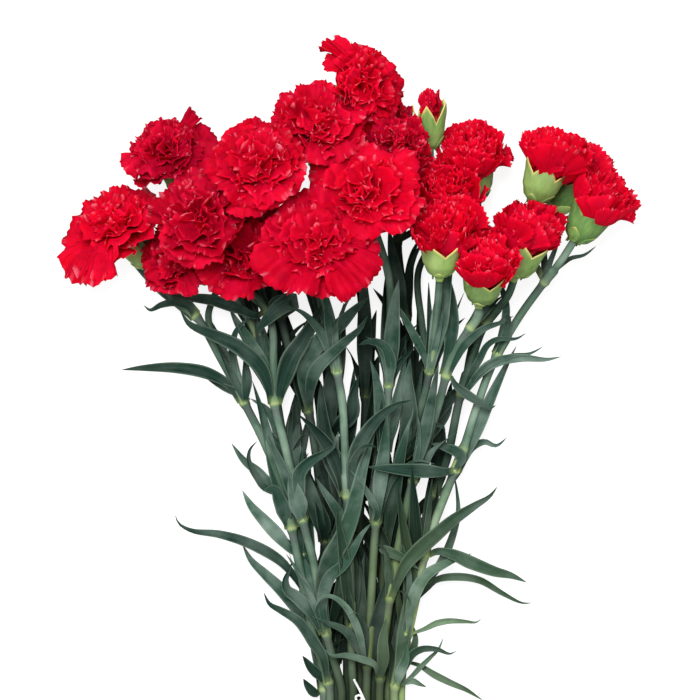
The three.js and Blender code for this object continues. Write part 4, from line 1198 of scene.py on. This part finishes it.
# Above these heights no joint bears a sprung pair, on the stems up to the last left one and on
# those after it.
LAST_LEFT_STEM = "stem_06"
TOP_PAIR_Y = 140
TOP_RIGHT_PAIR_Y = 105
LEAF_TOP_Y = 235
LOWEST_LEAF_Z = 1.6
SPRUNG_STEPS = 15


def leaf_section():
    """The section of a leaf, as wide as 1 each side and folded up from its middle."""
    rib = np.linspace(-1, 1, 9)
    upper = LEAF_FOLD * np.abs(rib) ** 1.3
    under = (upper - LEAF_BELLY * (1 - rib**2))[1:-1]
    points = np.vstack([np.column_stack([upper, rib, 0 * rib]),
                        np.column_stack([under, rib[1:-1], 0 * under])[::-1]])
    edges = [(i, (i + 1) % len(points)) for i in range(len(points))]
    values = {
        "rib": points[:, 1], "margin": np.abs(points[:, 1]) ** 12,
        "under": np.repeat([0.0, 1.0], [len(rib), len(rib) - 2]),
    }
    return mesh_object("leaf section", points, edges=edges, attributes=values)


def leaf_tree():
    """A folded blade swept along a leaf's line, as wide and as turned as each point says."""
    tree, given, made = new_tree(
        "leaf blade", "GeometryNodeTree",
        [("Line", "Geometry", None), ("Section", "Object", None), ("Leaf material", "Material", None)],
        [("Leaf", "Geometry")],
    )
    line = put(tree, "GeometryNodeMeshToCurve", {"Mesh": given["Line"]})
    facing = named_value(tree, "facing", "FLOAT_VECTOR")
    line = put(tree, "GeometryNodeSetCurveNormal", {"Curve": line, "Normal": facing}, mode="FREE")
    width = named_value(tree, "half_width")
    section = node(tree, "GeometryNodeObjectInfo", {"Object": given["Section"]}).outputs["Geometry"]
    section = put(tree, "GeometryNodeMeshToCurve", {"Mesh": section})
    blade = put(tree, "GeometryNodeCurveToMesh",
                {"Curve": line, "Profile Curve": section, "Scale": width, "Fill Caps": True})
    blade = put(tree, "GeometryNodeRealizeInstances", {"Geometry": blade})
    tree.links.new(dressed(tree, blade, given["Leaf material"]), made["Leaf"])
    return tree


def leaf_line(route, width, twist, side, rng):
    """A leaf's line with its width and the way it faces at each point."""
    points = spline(placed(route), LEAF_STATIONS)
    t = np.linspace(0, 1, len(points))
    half = width / 2 * (0.42 + 0.58 * smoothstep(0, 0.42, t)) * (1 - t**3) ** 0.95 + 0.12
    along = np.gradient(points, axis=0)
    up = np.array([0.0, 0.0, 1.0]) - 0.5 * (1 - smoothstep(0, 0.35, t))[:, None] * unit(side)
    across = np.cross(along, up)
    across /= np.linalg.norm(across, axis=1)[:, None]
    face = np.cross(across, along)
    face /= np.linalg.norm(face, axis=1)[:, None]
    turn = twist * smoothstep(0.15, 1, t)[:, None]
    return points, {
        "half_width": half * MM, "facing": face * np.cos(turn) + across * np.sin(turn), "along": t,
        "clasp": 1 - smoothstep(0, 0.07, t), "tone": np.full(len(points), rng.uniform(0, 0.9)),
        # painted shade, darker deeper inside the bunch
        "depth": rng.uniform(0.75, 0.98) * depth_inside(points),
        "sap": sappiness(points) * rng.uniform(0, 1),
    }


def leaf_foot(on, y, side):
    """Where a leaf starts, against the skin of its stem."""
    course = STEM_COURSES[on]
    foot = (course[height_on(course, y)] - PLAN_SHIFT) / MM
    return foot + unit(side) * (STEM_RADIUS + 0.6)


def sappiness(places):
    """How yellow the green is at places: more so towards the bunch's lower right."""
    x, y = ((places - PLAN_SHIFT) / MM)[:, :2].T
    return smoothstep(*SAPPY_X, x) * (1 - smoothstep(*SAPPY_Y, y))


def depth_inside(places):
    """How deep in the shade of the bunch places are: 1 at the surface between its outer stems."""
    x, y, z = places.T
    edges = []
    for name in ("stem_02", "stem_13"):
        course = STEM_COURSES[name]
        edges.append(np.interp(y, course[:, 1], course[:, 0]))
    inside = smoothstep(-0.002, 0.01, x - edges[0]) * smoothstep(-0.004, 0.008, edges[1] - x)
    return inside * (1 - smoothstep(*SHADE_Z, z))


def build_leaf(name, tree, section, line):
    """A leaf's blade as one piece."""
    points, values = line
    edges = [(i, i + 1) for i in range(len(points) - 1)]
    leaf = mesh_object(name, points, edges=edges, attributes=values)
    return grown(leaf, tree, Section=section, Leaf_material=leaf_look)


def joint_frame(on, y):
    """The way a stem runs at a joint, and the two ways across it."""
    course = STEM_COURSES[on]
    index = height_on(course, y)
    forward = unit(course[index + 2] - course[index - 2])
    sideways = unit(np.cross(forward, (0, 0, 1)))
    return forward, sideways, np.cross(sideways, forward)


def laid_by_hand(on, y, side):
    """Whether a leaf of the table grows from this side of a joint."""
    return any(
        leaf[0] == on and abs(leaf[1] - y) < 1 and unit(leaf[2]) @ side > 0.3 for leaf in LEAVES.values()
    )


def paired_leaves(rng):
    """The other leaves, in pairs at every joint, each pair turned a quarter from the last."""
    for on, stem in STEMS.items():
        turn = rng.uniform(0, math.pi)
        for y in stem["joints"]:
            turn += math.pi / 2 + rng.uniform(-0.4, 0.4)
            if y < TIE_Y or y > (TOP_PAIR_Y if on <= LAST_LEFT_STEM else TOP_RIGHT_PAIR_Y):
                continue
            forward, sideways, upward = joint_frame(on, y)
            for half_turn in (0, math.pi):
                side = sideways * math.cos(turn + half_turn) + upward * math.sin(turn + half_turn)
                length, opening, curl = rng.uniform(55, 95), rng.uniform(0.1, 0.6), rng.uniform(-0.5, 0.9)
                width, twist = rng.uniform(7, 12), rng.uniform(-1.2, 1.2)
                if laid_by_hand(on, y, side):
                    continue
                if (on in LEFTMOST and side[0] < 0) or (on in RIGHTMOST and side[0] > 0):
                    opening, curl = KEPT_CLOSE * opening, KEPT_CLOSE * curl
                yield sprung_leaf(on, y, side, forward, length, opening, curl, width, twist, rng)


def side_shoots(rng):
    """Tufts of small narrow leaves that grow from the joints."""
    for on, stem in STEMS.items():
        for y in stem["joints"]:
            if y < TIE_Y or y > TOP_PAIR_Y or rng.uniform() < 0.25:
                continue
            forward, sideways, upward = joint_frame(on, y)
            turn = rng.uniform(0, 2 * math.pi)
            inward = -1 if on in RIGHTMOST else 1 if on in LEFTMOST else 0
            for _ in range(int(rng.integers(2, 5))):
                turn += math.pi / 2 + rng.uniform(-0.5, 0.5)
                side = sideways * math.cos(turn) + upward * math.sin(turn)
                if inward * side[0] < 0:
                    side = side * (-1, 1, 1)
                length, opening, curl = rng.uniform(30, 62), rng.uniform(0.1, 0.7), rng.uniform(-0.8, 1.8)
                width, twist = rng.uniform(3.5, 6), rng.uniform(-2, 2)
                yield sprung_leaf(on, y, side, forward, length, opening, curl, width, twist, rng)


def sprung_leaf(on, y, side, forward, length, opening, curl, width, twist, rng):
    """A leaf that runs up beside its stem, opens away from it and curls towards its tip."""
    t = np.linspace(0, 1, SPRUNG_STEPS + 1)[:, None]
    angle = opening * smoothstep(0, 0.6, t) + curl * t**3
    steps = (forward * np.cos(angle) + side * np.sin(angle)) * min(length, LEAF_TOP_Y - y) / SPRUNG_STEPS
    places = leaf_foot(on, y, side) + np.vstack([np.zeros(3), np.cumsum(steps[:-1], axis=0)])
    places[:, 2] = np.maximum(places[:, 2], LOWEST_LEAF_Z)
    return leaf_line(places[::3], width, twist, side, rng)


def laid_leaf(row, rng):
    """The line of a leaf that a table lists."""
    on, y, side, width, twist, route = row
    return leaf_line([leaf_foot(on, y, side), *route], width, twist, side, rng)


def build_leaves():
    """Every leaf: those with a solid of their own, more listed one by one, and the sprung ones."""
    tree = leaf_tree()
    section = leaf_section()
    rng = np.random.default_rng(9)
    for name, row in LEAVES.items():
        attached(build_leaf(name + "_blade", tree, section, laid_leaf(row, rng)), "leaves", name)
    for number, row in enumerate(MORE_LEAVES, 1):
        attached(build_leaf(f"more_leaf_{number:02d}", tree, section, laid_leaf(row, rng)), "leaves")
    for number, line in enumerate(paired_leaves(rng), 1):
        attached(build_leaf(f"inner_leaf_{number:02d}", tree, section, line), "leaves")
    for number, line in enumerate(side_shoots(rng), 1):
        attached(build_leaf(f"shoot_leaf_{number:03d}", tree, section, line), "leaves")
    drop(section)


# ---- tie ----
TWINE_RADIUS = 0.75
TWINE_TURNS = 3
TWINE_LAY = 3.6
TWINE_PLIES = 3
TWINE_SIDES = 8
# How far each ply's middle lies from the twine's, and its radius, as shares of the twine's radius.
PLY_OFFSET = 0.5
PLY_RADIUS = 0.54


def plied(path, count):
    """The strands of a twine that follows a path, in metres, each wound round the path."""
    points = spline(path, count)
    along = distances(points) / MM
    forward = np.gradient(points, axis=0)
    forward /= np.linalg.norm(forward, axis=1)[:, None]
    side = np.cross(forward, (0.31, 0.9, 0.3))
    side /= np.linalg.norm(side, axis=1)[:, None]
    other = np.cross(forward, side)
    lines = []
    for ply in range(TWINE_PLIES):
        angle = (along / TWINE_LAY * 2 * math.pi + ply * 2 * math.pi / TWINE_PLIES)[:, None]
        outward = side * np.cos(angle) + other * np.sin(angle)
        strand = points + outward * TWINE_RADIUS * PLY_OFFSET * MM
        lines.append((strand, {"girth": np.full(count, TWINE_RADIUS * PLY_RADIUS * MM)}))
    return lines


def turns_path():
    """The twine's turns round the two rows of stems."""
    reach = STEM_RADIUS + GAP + TWINE_RADIUS * 0.75
    left, right = min(tie_places), max(tie_places)
    corners = []
    for angle in np.arange(0, 2 * math.pi * TWINE_TURNS, math.pi / 8):
        x, z = math.cos(angle), math.sin(angle)
        centre_x = np.clip(x * 4, -1, 1) * (right - left) / 2 + (left + right) / 2
        centre_z = np.clip(z * 4, -1, 1) * (FRONT_ROW_Z - BACK_ROW_Z) / 2 + (FRONT_ROW_Z + BACK_ROW_Z) / 2
        y = TIE_Y + (angle / (2 * math.pi) - TWINE_TURNS / 2) * 2 * TWINE_RADIUS
        corners.append((centre_x + reach * x, y, centre_z + reach * z))
    return corners


KNOT_AT = (9.5, -104, FRONT_ROW_Z + STEM_RADIUS + 2.6)
TAILS = (
    [(9.5, -104, 16.5), (8.5, -101, 16.5), (6, -95.5, 15.5), (2, -88, 15)],
    [(9.5, -104, 16.5), (6.4, -102.6, 16.8), (3.6, -100.6, 16.4), (3.4, -98.4, 15.6), (5.6, -97.6, 15.6),
     (7, -99.6, 17), (5, -101.6, 17.6)],
)


def knot_path():
    """A knot on top of the turns, drawn as a trefoil."""
    t = np.linspace(0, 2 * math.pi, 26)
    trefoil = np.column_stack([
        np.sin(t) + 2 * np.sin(2 * t), np.cos(t) - 2 * np.cos(2 * t), -0.9 * np.sin(3 * t),
    ])
    return np.array(KNOT_AT) + trefoil * (1.0, 0.85, 1.1)


def build_tie(tree):
    """The tie as one piece: its turns, its knot and its two tails."""
    paths = [(turns_path(), 900), (knot_path(), 120), (TAILS[0], 90), (TAILS[1], 110)]
    lines = [line for path, count in paths for line in plied(placed(path), count)]
    attached(skinned("twine", tree, lines, twine_look, TWINE_SIDES), "tie", "tie")


# ---- the bunch ----
STEM_COURSES = {name: stem_course(stem) for name, stem in STEMS.items()}
round_skin = skin_tree()

build_blooms()
build_stems(round_skin)
build_leaves()
build_tie(round_skin)

# ---- floor, light and camera ----
VIEW_MIDDLE = placed((-0.3, 111, 0))
VIEW_WIDTH = 0.42
CAMERA_HEIGHT = 5.0
REFERENCE_HEIGHT = 0.05
SENSOR_WIDTH = 36.0
FLOOR_REACH = 4.0
FLOOR_GLOW = (0.05, 0.85)
KEY_AT = (-0.35, 0.9, 2.6)
KEY_AIM = (0, 0.1, 0)
KEY_SIZE = 1.4
KEY_POWER = 84
WORLD_STRENGTH = 0.6


def build_floor():
    """A pale surface that glows more to the camera than on the flowers."""
    mesh = bpy.data.meshes.new("surface")
    corners = [(x * FLOOR_REACH, y * FLOOR_REACH, 0) for x, y in ((-1, -1), (1, -1), (1, 1), (-1, 1))]
    mesh.from_pydata(corners, [], [(0, 1, 2, 3)])
    floor = bpy.data.objects.new("surface", mesh)
    bpy.context.scene.collection.objects.link(floor)
    material = bpy.data.materials.new("pale surface")
    material.use_nodes = True
    tree = material.node_tree
    shader = tree.nodes["Principled BSDF"]
    shader.inputs["Base Color"].default_value = (0.3, 0.3, 0.3, 1)
    shader.inputs["Roughness"].default_value = 1.0
    shader.inputs["Specular IOR Level"].default_value = 0.0
    shader.inputs["Emission Color"].default_value = (1, 1, 1, 1)
    seen = node(tree, "ShaderNodeLightPath").outputs["Is Camera Ray"]
    tree.links.new(remapped(tree, seen, 0.0, 1.0, *FLOOR_GLOW), shader.inputs["Emission Strength"])
    floor.data.materials.append(material)


def build_light():
    """An even white world and a wide soft key from above."""
    world = bpy.data.worlds.new("soft studio")
    bpy.context.scene.world = world
    world.use_nodes = True
    background = world.node_tree.nodes["Background"]
    background.inputs["Color"].default_value = (1, 1, 1, 1)
    background.inputs["Strength"].default_value = WORLD_STRENGTH
    key = bpy.data.lights.new("key", "AREA")
    key.shape = "DISK"
    key.size = KEY_SIZE
    key.energy = KEY_POWER
    lamp = bpy.data.objects.new("key", key)
    lamp.location = KEY_AT
    direction = Vector(KEY_AIM) - lamp.location
    lamp.rotation_euler = direction.to_track_quat("-Z", "Y").to_euler()
    bpy.context.scene.collection.objects.link(lamp)


def build_camera():
    """A camera that looks straight down on the bunch."""
    camera = bpy.data.cameras.new("camera")
    camera.sensor_width = SENSOR_WIDTH
    camera.lens = SENSOR_WIDTH * (CAMERA_HEIGHT - REFERENCE_HEIGHT) / VIEW_WIDTH
    camera.clip_end = 20
    eye = bpy.data.objects.new("camera", camera)
    eye.location = (VIEW_MIDDLE[0], VIEW_MIDDLE[1], CAMERA_HEIGHT)
    bpy.context.scene.collection.objects.link(eye)
    bpy.context.scene.camera = eye


build_floor()
build_light()
build_camera()
bpy.context.scene.view_settings.view_transform = "Standard"
